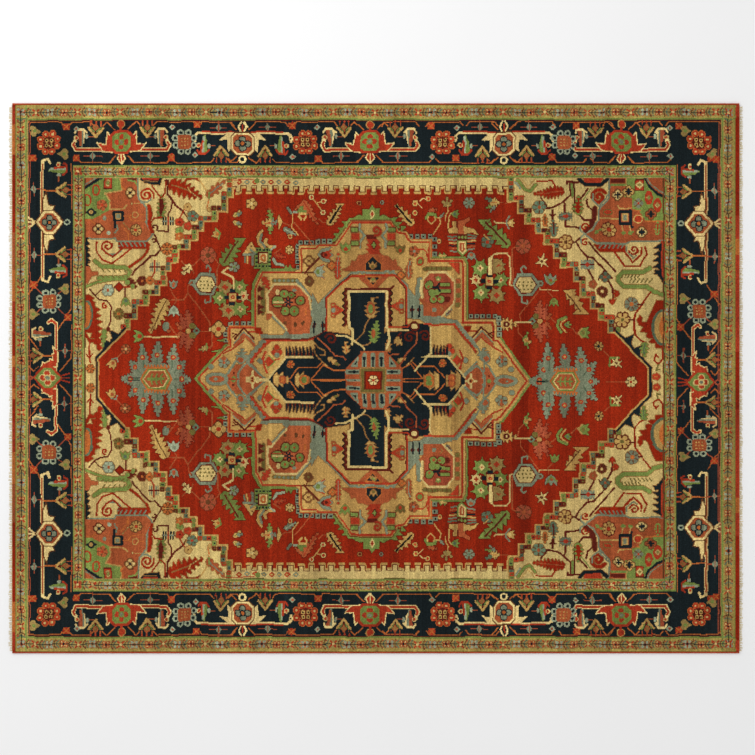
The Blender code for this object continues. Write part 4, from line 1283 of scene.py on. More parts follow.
side_tip(gold)
shoulder(gold)
for k in range(5):
    x, v = -63.5 + 2.1 * k, 9.6 + 2.5 * k
    gold.patch("slate", (x - 1.5, v - 1.8), (x + 0.6, v - 2.1), (x + 1.2, v + 2.6), (x - 0.8, v + 1.2))
    gold.patch("madder", (x + 0.3, v - 2.4), (x + 2.6, v - 1.4), (x + 1.7, v + 1.4))
gold.line("brick", 1.1, (-62.6, 8.2), (-53.2, 18.6), (-51.6, 19.4))
side_tip(Stencil(-14.0, -1.4, along=-1))
shoulder(Stencil(-12.4, 0.6, along=-1))
gold.patch("slate", (-57.5, 21.9), (-46.5, 21.5), (-45, 23.9), (-32.6, 23.9), (-31.6, 30.4), (-32.6, 31.6),
    (-31.6, 42.5), (-29, 37), (-12, 54), (-12.8, 51.8), (-24.6, 40.4), (-24.6, 23.6), (-30.5, 21),
    (-33, 20.2), (-56.8, 20.1))
gold.line("slate", 1.4, (-45.2, 24.6), (-53, 32.2))
gold.line("slate", 1.4, (-32.4, 40), (-39, 48.6))
gold.line("maroon", 0.5, (-56, 19.6), (-33.4, 19.6), (-30, 20.9), (-24.8, 24), (-24.6, 40.4), (-12.6, 52.2))
gold.line("brick", 0.8, (-55, 19), (-33.4, 19), (-29.6, 20.2), (-24, 24), (-24, 40.2), (-12.4, 51.4))
gold.patch("slate", (9.5, 52.6), (16.2, 45.4), (20, 41.2), (20.6, 50.4), (23, 51), (23, 42), (21.6, 40),
    (21.8, 37), (23.6, 36.5), (23.8, 31.4), (33, 31.2), (36, 29.6), (41.4, 29.2), (41, 27.6), (24.5, 27.8),
    (22, 29.5), (16.4, 30), (16.2, 44.4), (9, 51.8))
for k in range(9):
    x, v = 42.2 + 1.05 * k, 27.2 - 1.36 * k
    gold.patch("slate", (x - 0.9, v + 1.1), (x - 2.2, v - 0.6), (x + 0.6, v - 1.0))
gold.line("slate", 0.9, (41, 28.6), (51.3, 15.4), (54.4, 8), (54, 0))
gold.line("brick", 1.1, (39.4, 27), (50.2, 13.2))
gold.line("slate", 1.2, (-12, 52.9), (-8.8, 53.2), (-8.4, 54.4), (-6.6, 52.8), (-6, 54), (-4.4, 52.8),
    (4.6, 52.8), (5.2, 54), (7, 52.6), (9, 53.4), (10, 51.8), (16.2, 45.6))
gold.line("brick", 0.9, (-12, 51.4), (10, 51.4), (15.8, 45), (15.8, 26.5))
gold.line("maroon", 0.5, (9.6, 50.8), (15.2, 44.6), (15.2, 26.5))
gold.line("brick", 0.9, (24.4, 27), (39.8, 26.8))

gold.line("olive", 1.6, (-51, 48.8), (-39, 48.8))
for k in range(6):
    gold.disc("slate", -50 + 2.2 * k, 48.8, 0.7)
gold.line("olive", 1.5, (-56.2, 45), (-56.2, 32.5))
for v in (44.5, 40, 35.5, 33):
    gold.patch("maroon", (-58.4, v + 1.6), (-55.4, v), (-58.6, v - 1.4))
gold.leaf("brick", None, -56.5, 50.5, -52.5, 44, 4.0, 4)
gold.line("brown", 0.7, (-37, 52.9), (-30, 52.7))
gold.line("maroon", 0.9, (-35.4, 52.6), (-27.5, 61))
gold.line("maroon", 0.7, (-35, 53), (-31.5, 58.6))
gold.line("maroon", 0.6, (-34.6, 52.6), (-33, 49))
gold.flower("brown", "olive", -33.2, 48.4, 2.2, count=5)
gold.flower("gold", "brown", -33.4, 58.8, 2.2, "brown")
gold.tulip("slate", "maroon", -25.6, 61.6, 4.2, 0)
gold.tulip("brick", "maroon", -24.4, 61.6, 2.4, 0)
gold.tulip("sky", "green", -28.4, 53.2, 3.2, 0)
gold.line("brick", 0.5, (-27, 50.5), (-25.5, 49.6))
gold.line("brick", 0.5, (-27.4, 56.2), (-25.6, 57))
gold.flower("orange", "gold", -21.6, 56.2, 1.8, "brown")
gold.leaf("brick", "slate", -18.8, 49.6, -18.8, 62.6, 3.4, 6)
gold.tulip("green", "brick", -15, 64.8, 3.0, 90)
gold.tulip("olive", "brick", 12.2, 64, 2.6, 90)
gold.flower("coral", "slate", 19.2, 63.4, 2.4, count=5)
gold.line("brick", 0.6, (20.6, 64.4), (24, 64.4), (26.4, 62), (26.4, 57.5))
gold.line("brick", 0.6, (27.2, 67), (25.6, 62), (27.6, 57.6))
gold.ring("brick", "green", 22.4, 58.4, 2.0, 0.7)
gold.leaf("coral", "slate", 16.4, 49.6, 17.2, 60, 3.4, 6)
gold.flower("orange", "gold", 13, 51.6, 1.6, "brown")
coral_panel(gold, -43.4, 38, 1)
gold.patch("coral", (21.4, 39.6), (24, 40), (24, 49.4), (27, 52.6), (35.4, 52.6), (39.2, 48.4),
    (39.2, 37.4), (33.4, 31.4), (23.8, 31.4), (23.8, 37))
gold.patch("rose", (24.4, 38.4), (24.4, 49), (27, 52), (35, 52), (38.4, 48), (38.4, 38.4), (34, 36.4))
gold.line("cream", 1.4, (23.2, 40.4), (22.9, 49))
gold.line("cream", 1.0, (23, 49), (26.6, 53), (35.4, 53), (39.4, 48.6), (39.4, 37.2), (33.4, 30.8))
for yarn, grow in (("maroon", 0.6), ("green", 0.0)):
    for x, v, size in ((27, 46.8, 2.0), (28.4, 42.6, 1.8), (31, 43, 1.5), (28.8, 39.4, 1.7),
            (32.8, 39.4, 1.8)):
        gold.disc(yarn, x, v, size + grow)
    for v in (46.8, 43.5):
        block(gold, yarn, 32.4 - grow, 37.2 + grow, v - 0.8 - grow, v + 0.8 + grow)
for x, v in ((26.8, 46), (31.8, 39.6), (29, 39.6), (31.4, 49.4)):
    gold.disc("coral", x, v, 0.7)
gold.disc("maroon", 36, 39.4, 1.6)
gold.line("navy", 1.2, (29, 45.4), (31.4, 45.6), (32.4, 43.6))
gold.line("navy", 1.0, (31, 45.6), (32, 47.2))
gold.tulip("green", "cream", 31.6, 49.6, 1.5, 90)
gold.disc("slate", 29.2, 34.2, 1.2)
gold.line("gold", 0.5, (32.4, 35.8), (34, 34.6), (32.6, 33.6))
gold.line("olive", 1.8, (24.8, 54.8), (37, 54.8))
for k in range(5):
    gold.line("brown", 0.5, (26 + 2.4 * k, 53.8), (26 + 2.4 * k, 55.8))
for k in range(6):
    block(gold, ("coral", "olive")[k % 2], 40.3, 42.3, 47.6 - 2.4 * k, 49.6 - 2.4 * k)
gold.line("coral", 0.7, (43.2, 57), (43.2, 36))
gold.patch("brick", (36.6, 57.6), (41.8, 57.4), (41.6, 52))
gold.leaf("slate", "maroon", 35.5, 31.4, 38.6, 34.8, 1.8, 3)

# The coral collar over the boss, with a saw edge, and the navy pentagon and triangle on the middle line
gold.patch("coral", (-17, 54), (-12.5, 57), (-12.2, 59.4), (-10, 58.6), (-8.4, 61.4), (-5.6, 61.8),
    (-3.6, 62.6), (2.4, 62.6), (4, 61.4), (6.6, 60.8), (8.6, 58.4), (9.8, 60), (10.8, 56.4), (14, 54),
    (8, 54), (2.6, 54.2), (-5.4, 54.2))
gold.edged("navy", "orange", 0.5, (-4.8, 53.8), (-4.8, 57.4), (-1.2, 61), (2.8, 57.4), (2.8, 53.8))
gold.tulip("gold", "olive", -1.2, 56, 2.2, 90)
gold.patch("coral", (-8.8, 51), (-6, 51), (0.2, 45.2), (-2.6, 45.2))
gold.patch("coral", (6.6, 51), (3.8, 51), (-2.4, 45.2), (0.8, 45.2))
gold.edged("navy", "orange", 0.5, (-4.8, 50.8), (2.8, 50.8), (-1, 46.2))
gold.tulip("gold", "green", -1, 49.2, 1.9, 270)
# Crest: a red column with a curl over it, between two stacks of green and coral buds on pale stems
gold.patch("brick", (-2.6, 62), (-4.4, 64.6), (-2.8, 64.8), (-4.6, 67.4), (-3, 67.4), (-4.2, 69.6),
    (0.8, 69.8), (2.6, 67.6), (1.6, 67.2), (3, 65), (1.8, 64.4), (2.6, 62))
gold.diamond("maroon", -0.6, 66.6, 1.6, 2.6)
gold.diamond("green", -0.6, 66.6, 1.0, 1.8)
gold.patch("maroon", (-4.6, 71.6), (0.4, 71.6), (0.6, 69.8), (-4.2, 69.8))
spiral(gold, "brick", 0.6, 73.8, 2.6, 1.2, 4.4, 1.1)
for side, middle in ((-1, -1.2), (1, -0.9)):
    block(gold, "brick", *sorted((middle + side * 6.6, middle + side * 10.8)), 69.4, 72.4)
    for low, high in ((72.8, 75.6), (66.2, 69)):
        for yarn, inset in (("maroon", 0.0), ("green", 0.4)):
            stops = sorted((middle + side * (6.8 + inset), middle + side * (11.2 - inset)))
            block(gold, yarn, *stops, low + inset, high - inset)
    gold.line("slate", 1.1, (middle + side * 6.4, 77), (middle + side * 6.6, 74.4),
        (middle + side * 4, 71.2), (middle + side * 6.2, 68.2), (middle + side * 6.2, 65.4))

# Navy panels: two at the sides and the tall one in the middle, then the boss over them all
navy_panel(gold)
navy_panel(Stencil(-8.6, 0.6, along=-1))
gold.patch("navy", (12, 10.4), (14, 26.4), (20, 27.6), (26, 26.6), (27.4, 25), (27.4, 12), (22, 10.4))
gold.line("cream", 0.9, (27.4, 25.2), (27.6, 12.4), (26.6, 11.8), (20, 3.8))
gold.patch("navy", (-12.4, 8), (-12.4, 43.2), (4.4, 43.2), (4.4, 8))
for middle, side in ((-14.2, -1), (6.4, 1)):
    gold.line("maroon", 1.3, *[(middle + side * 1.4 * (k % 2), 44 - 1.6 * k) for k in range(12)])
    gold.line("black", 0.4, *[(middle + side * (1.4 * (k % 2) + 0.8), 44 - 1.6 * k) for k in range(12)])
gold.line("maroon", 1.0, (-15, 44.6), (7.4, 44.6), (8.8, 46))
gold.line("cream", 1.2, (-11.4, 16.8), (-11.6, 24.4), (-13.2, 25.4), (-13.2, 43.4), (5.4, 43.4), (5.4, 26),
    (6.6, 24.8), (6.6, 17.5), (5.4, 14.6))
gold.line("cream", 1.0, (6.6, 24.2), (16.4, 24))
gold.line("brick", 0.8, (6.8, 25.6), (16, 25.4), (17.6, 27))
gold.line("cream", 0.9, (-19.6, 21.4), (-14.6, 21), (-9.6, 18), (-6.6, 16.2), (-5.4, 14.6))
gold.line("gold", 0.7, (-9.6, 18.6), (-6, 23), (-5.2, 26.6), (-2.8, 30.4))
gold.line("gold", 0.7, (-6.4, 16.4), (-3.6, 16.8), (-1.8, 18.4))
gold.leaf("gold", None, -2.6, 30, -1.6, 40.4, 7.4, 5)
gold.disc("coral", -2.5, 35, 2.1, 3.0)
gold.disc("green", -2.6, 34.6, 1.3, 2.3)
gold.line("gold", 0.6, (-1.8, 40), (1, 40.4))
gold.leaf("green", None, -1, 17.8, 0.6, 29, 5.8, 6)
gold.disc("coral", -0.8, 22.4, 0.9, 2.4)
for x, v, side in ((-20.8, 34, -1), (13.2, 36, 1)):
    gold.patch("brick", (x - side * 5.4, v), (x + side * 0.8, v + 3.8), (x + side * 0.8, v - 3.8))
    gold.patch("coral", (x - side * 3.4, v), (x, v + 2.4), (x, v - 2.4))
    gold.disc("slate", x, v, 1.1, 1.3)
    for up in (-2.6, 2.6):
        gold.ring("brick", "gold", x, v + up, 1.2, 0.4)
for x, v in ((-30.6, 26.4), (-26, 26.4), (18.4, 34.2), (21.6, 34.2)):
    gold.disc("maroon", x, v, 1.0, 1.3)
    gold.line("navy", 0.8, (x, v - 3.8), (x, v + 2))
spiral(gold, "maroon", 17.2, 20.4, 3.0, 1.3, 0.6, 1.0)
spiral(gold, "maroon", 24.6, 21, 3.0, 1.3, 2.6, 1.0, -1)
gold.ring("maroon", "cream", 19.6, 26, 2.4, 1.0)
gold.leaf("gold", None, 9.6, 19.8, 13.6, 16.6, 5.2, 3)
gold.line("coral", 0.7, (20.6, 23), (20.6, 17.5), (16, 12.6), (12, 6.6))

BOSS = (-0.8, -1.1)
gold.octagon("coral", BOSS[0], BOSS[1], 14.2, 14.6, 8.4)
for k in range(13):
    gold.patch("coral", (-8 + 1.2 * k, 12.8), (-7.4 + 1.2 * k, 14.2), (-6.8 + 1.2 * k, 12.8))
for x in (-5.4, -1, 3.2):
    gold.line("slate", 2.6, (x, 6.6), (x, 11.6))
    gold.line("navy", 1.0, (x, 6.2), (x, 9.6))
    gold.disc("navy", x, 10, 0.9)
for v in (3.2, -1.5, -6.0):
    for x, side in ((-11, -1), (8.6, 1)):
        gold.line("slate", 2.6, (x - 2.6, v), (x + 2.6, v))
        gold.line("navy", 0.9, (x + side * 2, v), (x - side * 2.4, v))
        gold.disc("navy", x - side * 0.6, v, 0.8)
gold.edged("navy", "slate", 0.9, (-12, 6.2), (-9, 6.2), (-9, 10.2))
gold.edged("navy", "slate", 0.9, (9.8, 6.2), (7, 6.2), (7, 10.2))
block(gold, "olive", -7.6, 5.3, -8, 5.4)
gold.line("gold", 0.5, (-7.4, -4), (-7.4, 5.2), (5, 5.2), (5, -4))
block(gold, "maroon", -5.2, 3.2, -8, 3.6)
block(gold, "madder", -4.7, 2.7, -8, 3.1)
gold.flower("ivory", "brick", BOSS[0], BOSS[1], 2.4, "maroon", count=6)


# Red ground: madder, with the pale palmette that hangs off each end of the medallion and a garden of
# leaves, tulips and stems. It fills what the corners, the margins and the medallion leave.
ground_wool = wool("ground_wool", 0.38, 0.3, 0.34)
ground = Stencil()


def pendant(s, x, v, spikes):
    """The pale saw-edged palmette with a six-sided heart. Each spike is its tip and its root."""
    s.disc("slate", x, v, 12.0, 8.2)
    for tip_x, tip_v, root_x, root_v in spikes:
        s.leaf("slate", None, x + root_x, v + root_v, x + tip_x, v + tip_v, 6.0, 6, 0.75)
        s.line("teal", 0.5, (x + root_x, v + root_v), (x + tip_x * 0.85, v + tip_v * 0.85))
        share_x, share_v = 0.45 * tip_x + 0.55 * root_x, 0.45 * tip_v + 0.55 * root_v
        s.disc("brick", x + share_x, v + share_v, 1.3)
        s.disc("gold", x + share_x, v + share_v, 0.6)
    for k in range(8):
        s.patch("orange", (x - 6 + 1.6 * k, v + 5.4), (x - 5.2 + 1.6 * k, v + 7.4),
            (x - 4.2 + 1.6 * k, v + 5.4))
    s.patch("orange", (x - 8, v - 4), (x - 8, v), (x - 3.9, v + 6), (x + 5, v + 6), (x + 8.2, v),
        (x + 8.2, v - 4))
    s.patch("green", (x - 7, v - 4), (x - 7, v), (x - 3.4, v + 5), (x + 4.6, v + 5), (x + 7.2, v),
        (x + 7.2, v - 4))
    s.patch("cream", (x - 6.2, v - 4), (x - 6.2, v), (x - 3, v + 4.3), (x + 4.1, v + 4.3), (x + 6.4, v),
        (x + 6.4, v - 4))
    s.patch("coral", (x - 5.6, v - 4), (x - 5.6, v), (x - 2.7, v + 3.7), (x + 3.8, v + 3.7), (x + 5.8, v),
        (x + 5.8, v - 4))
    s.line("green", 1.2, (x - 3.6, v), (x + 3.8, v))
    for out in (-2.4, 0, 2.4):
        s.line("green", 0.8, (x + out, v), (x + out + 0.8, v + 2.4))
    s.line("navy", 0.5, (x - 14, v + 0.5), (x - 8.4, v + 0.3))


def pomegranate(s, x, v):
    """A gold fruit full of seeds in a pale blue skin, with a hook above and below."""
    s.patch("slate", (x - 7.4, v), (x - 3.2, v + 5.6), (x + 4.2, v + 5.6), (x + 6.2, v), (x + 3.4, v - 5.8),
        (x - 3.4, v - 5.4))
    s.patch("maroon", (x - 5.6, v), (x - 2.8, v + 4.2), (x + 3.1, v + 4.2), (x + 5.2, v),
        (x + 2.4, v - 4.8), (x - 2.8, v - 4.4))
    s.patch("cream", (x - 5, v), (x - 2.5, v + 3.6), (x + 2.8, v + 3.6), (x + 4.6, v), (x + 2, v - 4.2),
        (x - 2.5, v - 3.8))
    for row in (-2.4, -0.6, 1.2):
        for k in range(4):
            s.disc("olive", x - 3 + 1.9 * k + (0.5 if row == -0.6 else 0), v + row, 0.5)
    s.line("slate", 0.8, (x + 1.6, v + 5.6), (x + 2.6, v + 8), (x + 0.8, v + 9.4), (x - 0.2, v + 8))
    s.line("slate", 0.8, (x + 1.8, v - 5.6), (x + 2, v - 8.8), (x - 0.6, v - 9.6), (x - 0.6, v - 8))
    s.disc("slate", x - 7.2, v + 0.6, 1.6)
    s.disc("brown", x - 7.4, v + 0.6, 0.6)


def lobe(s, yarn, x, v, reach, star="cream"):
    """A round saw-edged lobe with a small star in it."""
    for k in range(7):
        angle = math.tau * (k + 0.3) / 7
        ux, uv = math.cos(angle), math.sin(angle)
        s.patch(yarn, (x + 1.5 * reach * ux, v + 1.5 * reach * uv),
            (x - reach * uv * 0.6, v + reach * ux * 0.6), (x + reach * uv * 0.6, v - reach * ux * 0.6))
    s.disc(yarn, x, v, reach)
    s.flower(star, "brick", x, v, reach * 0.42)


def ragged_star(s, x, v, reach):
    """A cream palmette of pointed petals, which leans, with a brown middle."""
    for turn, size in ((20, 1.0), (75, 1.3), (130, 0.9), (200, 1.2), (265, 0.9), (320, 1.3)):
        ux, uv = math.cos(math.radians(turn)), math.sin(math.radians(turn))
        s.patch("cream", (x + size * reach * ux, v + size * reach * uv), (x - 0.9 * uv, v + 0.9 * ux),
            (x - 0.6 * ux, v - 0.6 * uv), (x + 0.9 * uv, v - 0.9 * ux))
    s.disc("brown", x, v, 0.7)


def four_lobes(s, x, v, lobes):
    """A square gold eye with navy blocks and saw-edged lobes of khaki, green and ivory."""
    for yarn, out_x, out_v, reach in lobes:
        lobe(s, yarn, x + out_x, v + out_v, reach, "cream" if yarn == "green" else "brick")
    for out_x, out_v in ((0, 3.3), (0, -3.3), (-2.9, 0), (2.9, 0)):
        block(s, "navy", x + out_x - 1.5, x + out_x + 1.5, v + out_v - 0.9, v + out_v + 0.9)
    block(s, "gold", x - 1.7, x + 1.7, v - 2.1, v + 2.1)
    s.ring("brick", "gold", x, v, 1.0, 0.6)


def salmon_palmette(s, x, v):
    """The faded palmette on the axis of a stem, with ragged coral lobes that hang up and down."""
    for up in (-1, 1):
        s.leaf("rose", "coral", x + 0.4, v + up * 1.5, x - 1, v + up * 10.5, 5.2, 5)
        s.leaf("rose", None, x - 2.4, v + up * 1, x - 4.4, v + up * 8.6, 3.2, 4)
        s.leaf("coral", None, x - 3.6, v + up * 0.5, x - 6.6, v + up * 4, 2.4, 2)
        s.disc("olive", x + 1.6, v + up * 2.4, 1.5)
    s.disc("gold", x - 0.4, v, 1.3)
    s.diamond("teal", x + 3.4, v, 2.0)
    s.disc("maroon", x + 3.4, v, 0.7)


def ground_stems(s):
    """The stems, buds and leaves between the pendant and the corners."""
    s.line("coral", 0.7, (-92, 48), (-93.6, 46), (-93.6, 42.5), (-95.6, 39.2), (-104, 39))
    s.line("coral", 0.6, (-93.4, 42.5), (-84.5, 30), (-83, 27.8), (-82.8, 24.5))
    s.line("coral", 0.6, (-99, 39), (-102.8, 44.6))
    s.line("coral", 0.5, (-99, 39), (-100.4, 37))
    s.tulip("slate", "brick", -101, 46.6, 2.6, 90)
    s.disc("coral", -101, 47, 0.9)
    s.tulip("sky", "slate", -100.8, 34, 3.0, 270)
    s.leaf("gold", "brown", -104.6, 39.4, -112.6, 23, 8.0, 7)
    s.line("cream", 0.9, (-115.6, 20.7), (-98.6, 20.7))
    s.line("coral", 0.8, (-98.8, 20.8), (-104, 28))
    s.tulip("green", "brick", -118, 21, 3.2, 180)
    s.disc("slate", -104.8, 25.8, 1.8, 2.4)
    s.disc("coral", -103.6, 23.6, 1.0)
    s.line("coral", 0.6, (-88, 23.3), (-83.4, 23.3))
    s.line("coral", 0.6, (-81.7, 23.6), (-81.7, 16.5), (-83, 15.2))
    block(s, "cream", -83.2, -81.2, 23.8, 25.2)
    s.flower("gold", "brick", -78.6, 24.6, 3.2, "brown")
    s.ring("gold", "brick", -78.6, 24.6, 1.8, 0.6)
    s.leaf("khaki", None, -84, 15.4, -88.6, 14.2, 3.2, 3)
    s.line("green", 0.7, (-84.6, 17.2), (-84.2, 15.2))
    s.flower("coral", "cream", -125, 14.6, 2.4, count=6)
    s.line("coral", 0.4, (-127, 12.6), (-129, 10.6))
    s.tulip("gold", "coral", -131.6, 7.4, 2.6, 240)
    s.line("slate", 0.7, (-132, 9.6), (-129.4, 10), (-129, 8.2))
    s.flower("rose", "brown", -83.6, 61.4, 4.4, count=7)
    s.line("coral", 0.5, (-87.4, 60), (-91, 56.4), (-95, 56.6), (-96.6, 58.4))
    s.line("coral", 0.5, (-81, 61), (-77.8, 57), (-79, 54.4), (-79, 46.5))
    s.leaf("cream", "brown", -92.6, 56.6, -96.4, 52, 4.4, 3)
    s.line("coral", 0.5, (-92, 55.6), (-91, 52.4))


pendant(ground, -109.8, -0.2, ((-17.5, 0, -9, 0), (-13.2, 9, -8, 3), (-7, 17.5, -6, 5), (1.2, 19, 0.6, 6),
    (9.2, 17.5, 8, 5), (14.6, 9, 9, 3), (17.5, 0, 9, 0)))
pendant(ground, 94.6, -1.8, ((-17.5, 1, -9, 1), (-13, 10.4, -9, 3), (-8.8, 19.8, -8, 6),
    (-0.6, 19.2, 0.8, 7), (7.6, 17.6, 8.6, 5), (16, 10, 9.4, 3), (17.5, 0, 9, 0)))
for x, v, along in ((-84.6, 47.2, 1), (-75.0, 46.8, -1)):
    pomegranate(Stencil(0, 0, along), x, v)
four_lobes(ground, -71.5, 40.5, (("khaki", -3.6, 5, 3), ("green", 3.4, 5, 3), ("green", -6.4, -0.4, 3),
    ("khaki", -2, -6.4, 3.2), ("green", 3.8, -6, 3.2), ("cream", 5.6, 0.6, 2.2)))
four_lobes(ground, 57.2, 48.6, (("green", -4.6, 6.4, 3.4), ("green", 5.4, 0.4, 3),
    ("green", -4.2, -5.8, 3.4), ("khaki", 3.6, -7.2, 3.2), ("cream", -7, 0.6, 2.2),
    ("khaki", 4.6, 7.6, 2.6)))
salmon_palmette(ground, -93, 23.7)
salmon_palmette(Stencil(0, 0, along=-1), -81.6, 28.5)
ground_stems(ground)


def saw(s, yarn, spine, x0, v0, x1, v1, width, teeth):
    """A long leaf with a dark spine whose teeth all point back, and a flag at each end."""
    s.leaf(yarn, None, x0, v0, x1, v1, width, teeth)
    side = 1 if x1 > x0 else -1
    s.patch(yarn, (x1 - side * 3.4, v1), (x1 + side * 1.6, v1),
        (x1 - side * 1.4, v1 - 2.4 if v1 > v0 else v1 + 2.4))
    s.line(spine, 0.9, (x0 + (x1 - x0) * 0.1, v0 + (v1 - v0) * 0.1),
        (x0 + (x1 - x0) * 0.9, v0 + (v1 - v0) * 0.9))


def west_garden(s):
    """The leaves, buds and rings of the west half, between the lobed flower and the long side."""
    s.line("cream", 1.0, (-71, 45), (-71, 50.4), (-76.4, 53), (-73.6, 55.2))
    s.leaf("green", None, -76.6, 56.6, -66.5, 70.4, 7.4, 6)
    s.patch("green", (-71.6, 70.6), (-64.6, 70.4), (-67, 66.4))
    s.line("maroon", 0.9, (-75.4, 58), (-69, 68.6))
    s.flower("slate", "green", -70.8, 55.6, 2.4, count=5)
    for up in (-1, 1):
        s.leaf("gold", "green", -71, 80 + up * 1, -67.4, 80 + up * 4.4, 2.6, 2)
        s.leaf("slate", None, -69.4, 80 + up * 2, -66.6, 80 + up * 2.8, 2.0, 2)
    s.tulip("gold", "orange", -79, 72, 2.4, 150)
    s.line("green", 0.8, (-79.6, 74.6), (-77.4, 72.4), (-78.2, 69.6))
    s.flower("gold", "cream", -61.8, 87.2, 2.6, count=5)
    s.leaf("green", None, -52, 79, -53.4, 84.4, 3.2, 3)
    s.leaf("green", None, -52.4, 76.6, -53, 72, 3.2, 3)
    s.leaf("gold", "brick", -51.6, 78, -57, 77.8, 5.2, 3)
    s.leaf("slate", "brick", -52.4, 78.4, -49.4, 78, 4.2, 2)
    s.line("coral", 0.6, (-53, 85), (-51, 82.6))
    s.patch("gold", (-48.6, 82), (-49, 79.4), (-48.4, 74.2), (-46.6, 77.8))
    s.line("coral", 0.5, (-46.6, 77.8), (-42, 76))
    s.line("gold", 0.4, (-41.7, 82), (-41.7, 75.6), (-38.8, 71.4))
    s.line("coral", 0.4, (-40.6, 78), (-31.6, 67.6))
    s.leaf("slate", "sky", -45.6, 75, -39.8, 71.4, 3.4, 4)
    s.ring("gold", "brick", -42.8, 70.8, 1.2, 0.5)
    s.line("slate", 1.3, (-44, 85), (-42.4, 82.6))
    s.line("sky", 0.9, (-41, 83), (-39.2, 83))
    s.patch("green", (-39.6, 82.6), (-38.2, 85.8), (-36, 86.2), (-33.2, 81.4), (-35.4, 82.8))
    s.line("gold", 0.9, (-37, 79.4), (-38.4, 80.8), (-38.2, 82.2), (-34.8, 82.2), (-34.6, 80.4),
        (-35.4, 79.4))
    s.leaf("coral", "brick", -36.6, 88.8, -28.4, 76.6, 4.4, 6)
    s.leaf("coral", None, -37, 87.4, -40.4, 84, 2.0, 3)
    s.line("gold", 0.4, (-31, 89.6), (-26.4, 83.6))
    s.line("gold", 0.4, (-29.4, 87.4), (-26.2, 88.4))
    for x, v in ((-31.7, 90.4), (-26, 82.8), (-25.8, 88.4)):
        s.ring("cream", "brick", x, v, 1.3, 0.6)
    s.line("coral", 0.4, (-28, 79.6), (-26, 77.8), (-24, 77.8))
    saw(s, "gold", "black", -23.4, 76.6, -17, 87.2, 5.0, 6)
    s.flower("gold", "cream", -42.8, 64.2, 2.2, count=7)
    s.ring("tan", "maroon", -8, 87.8, 1.2, 0.5)


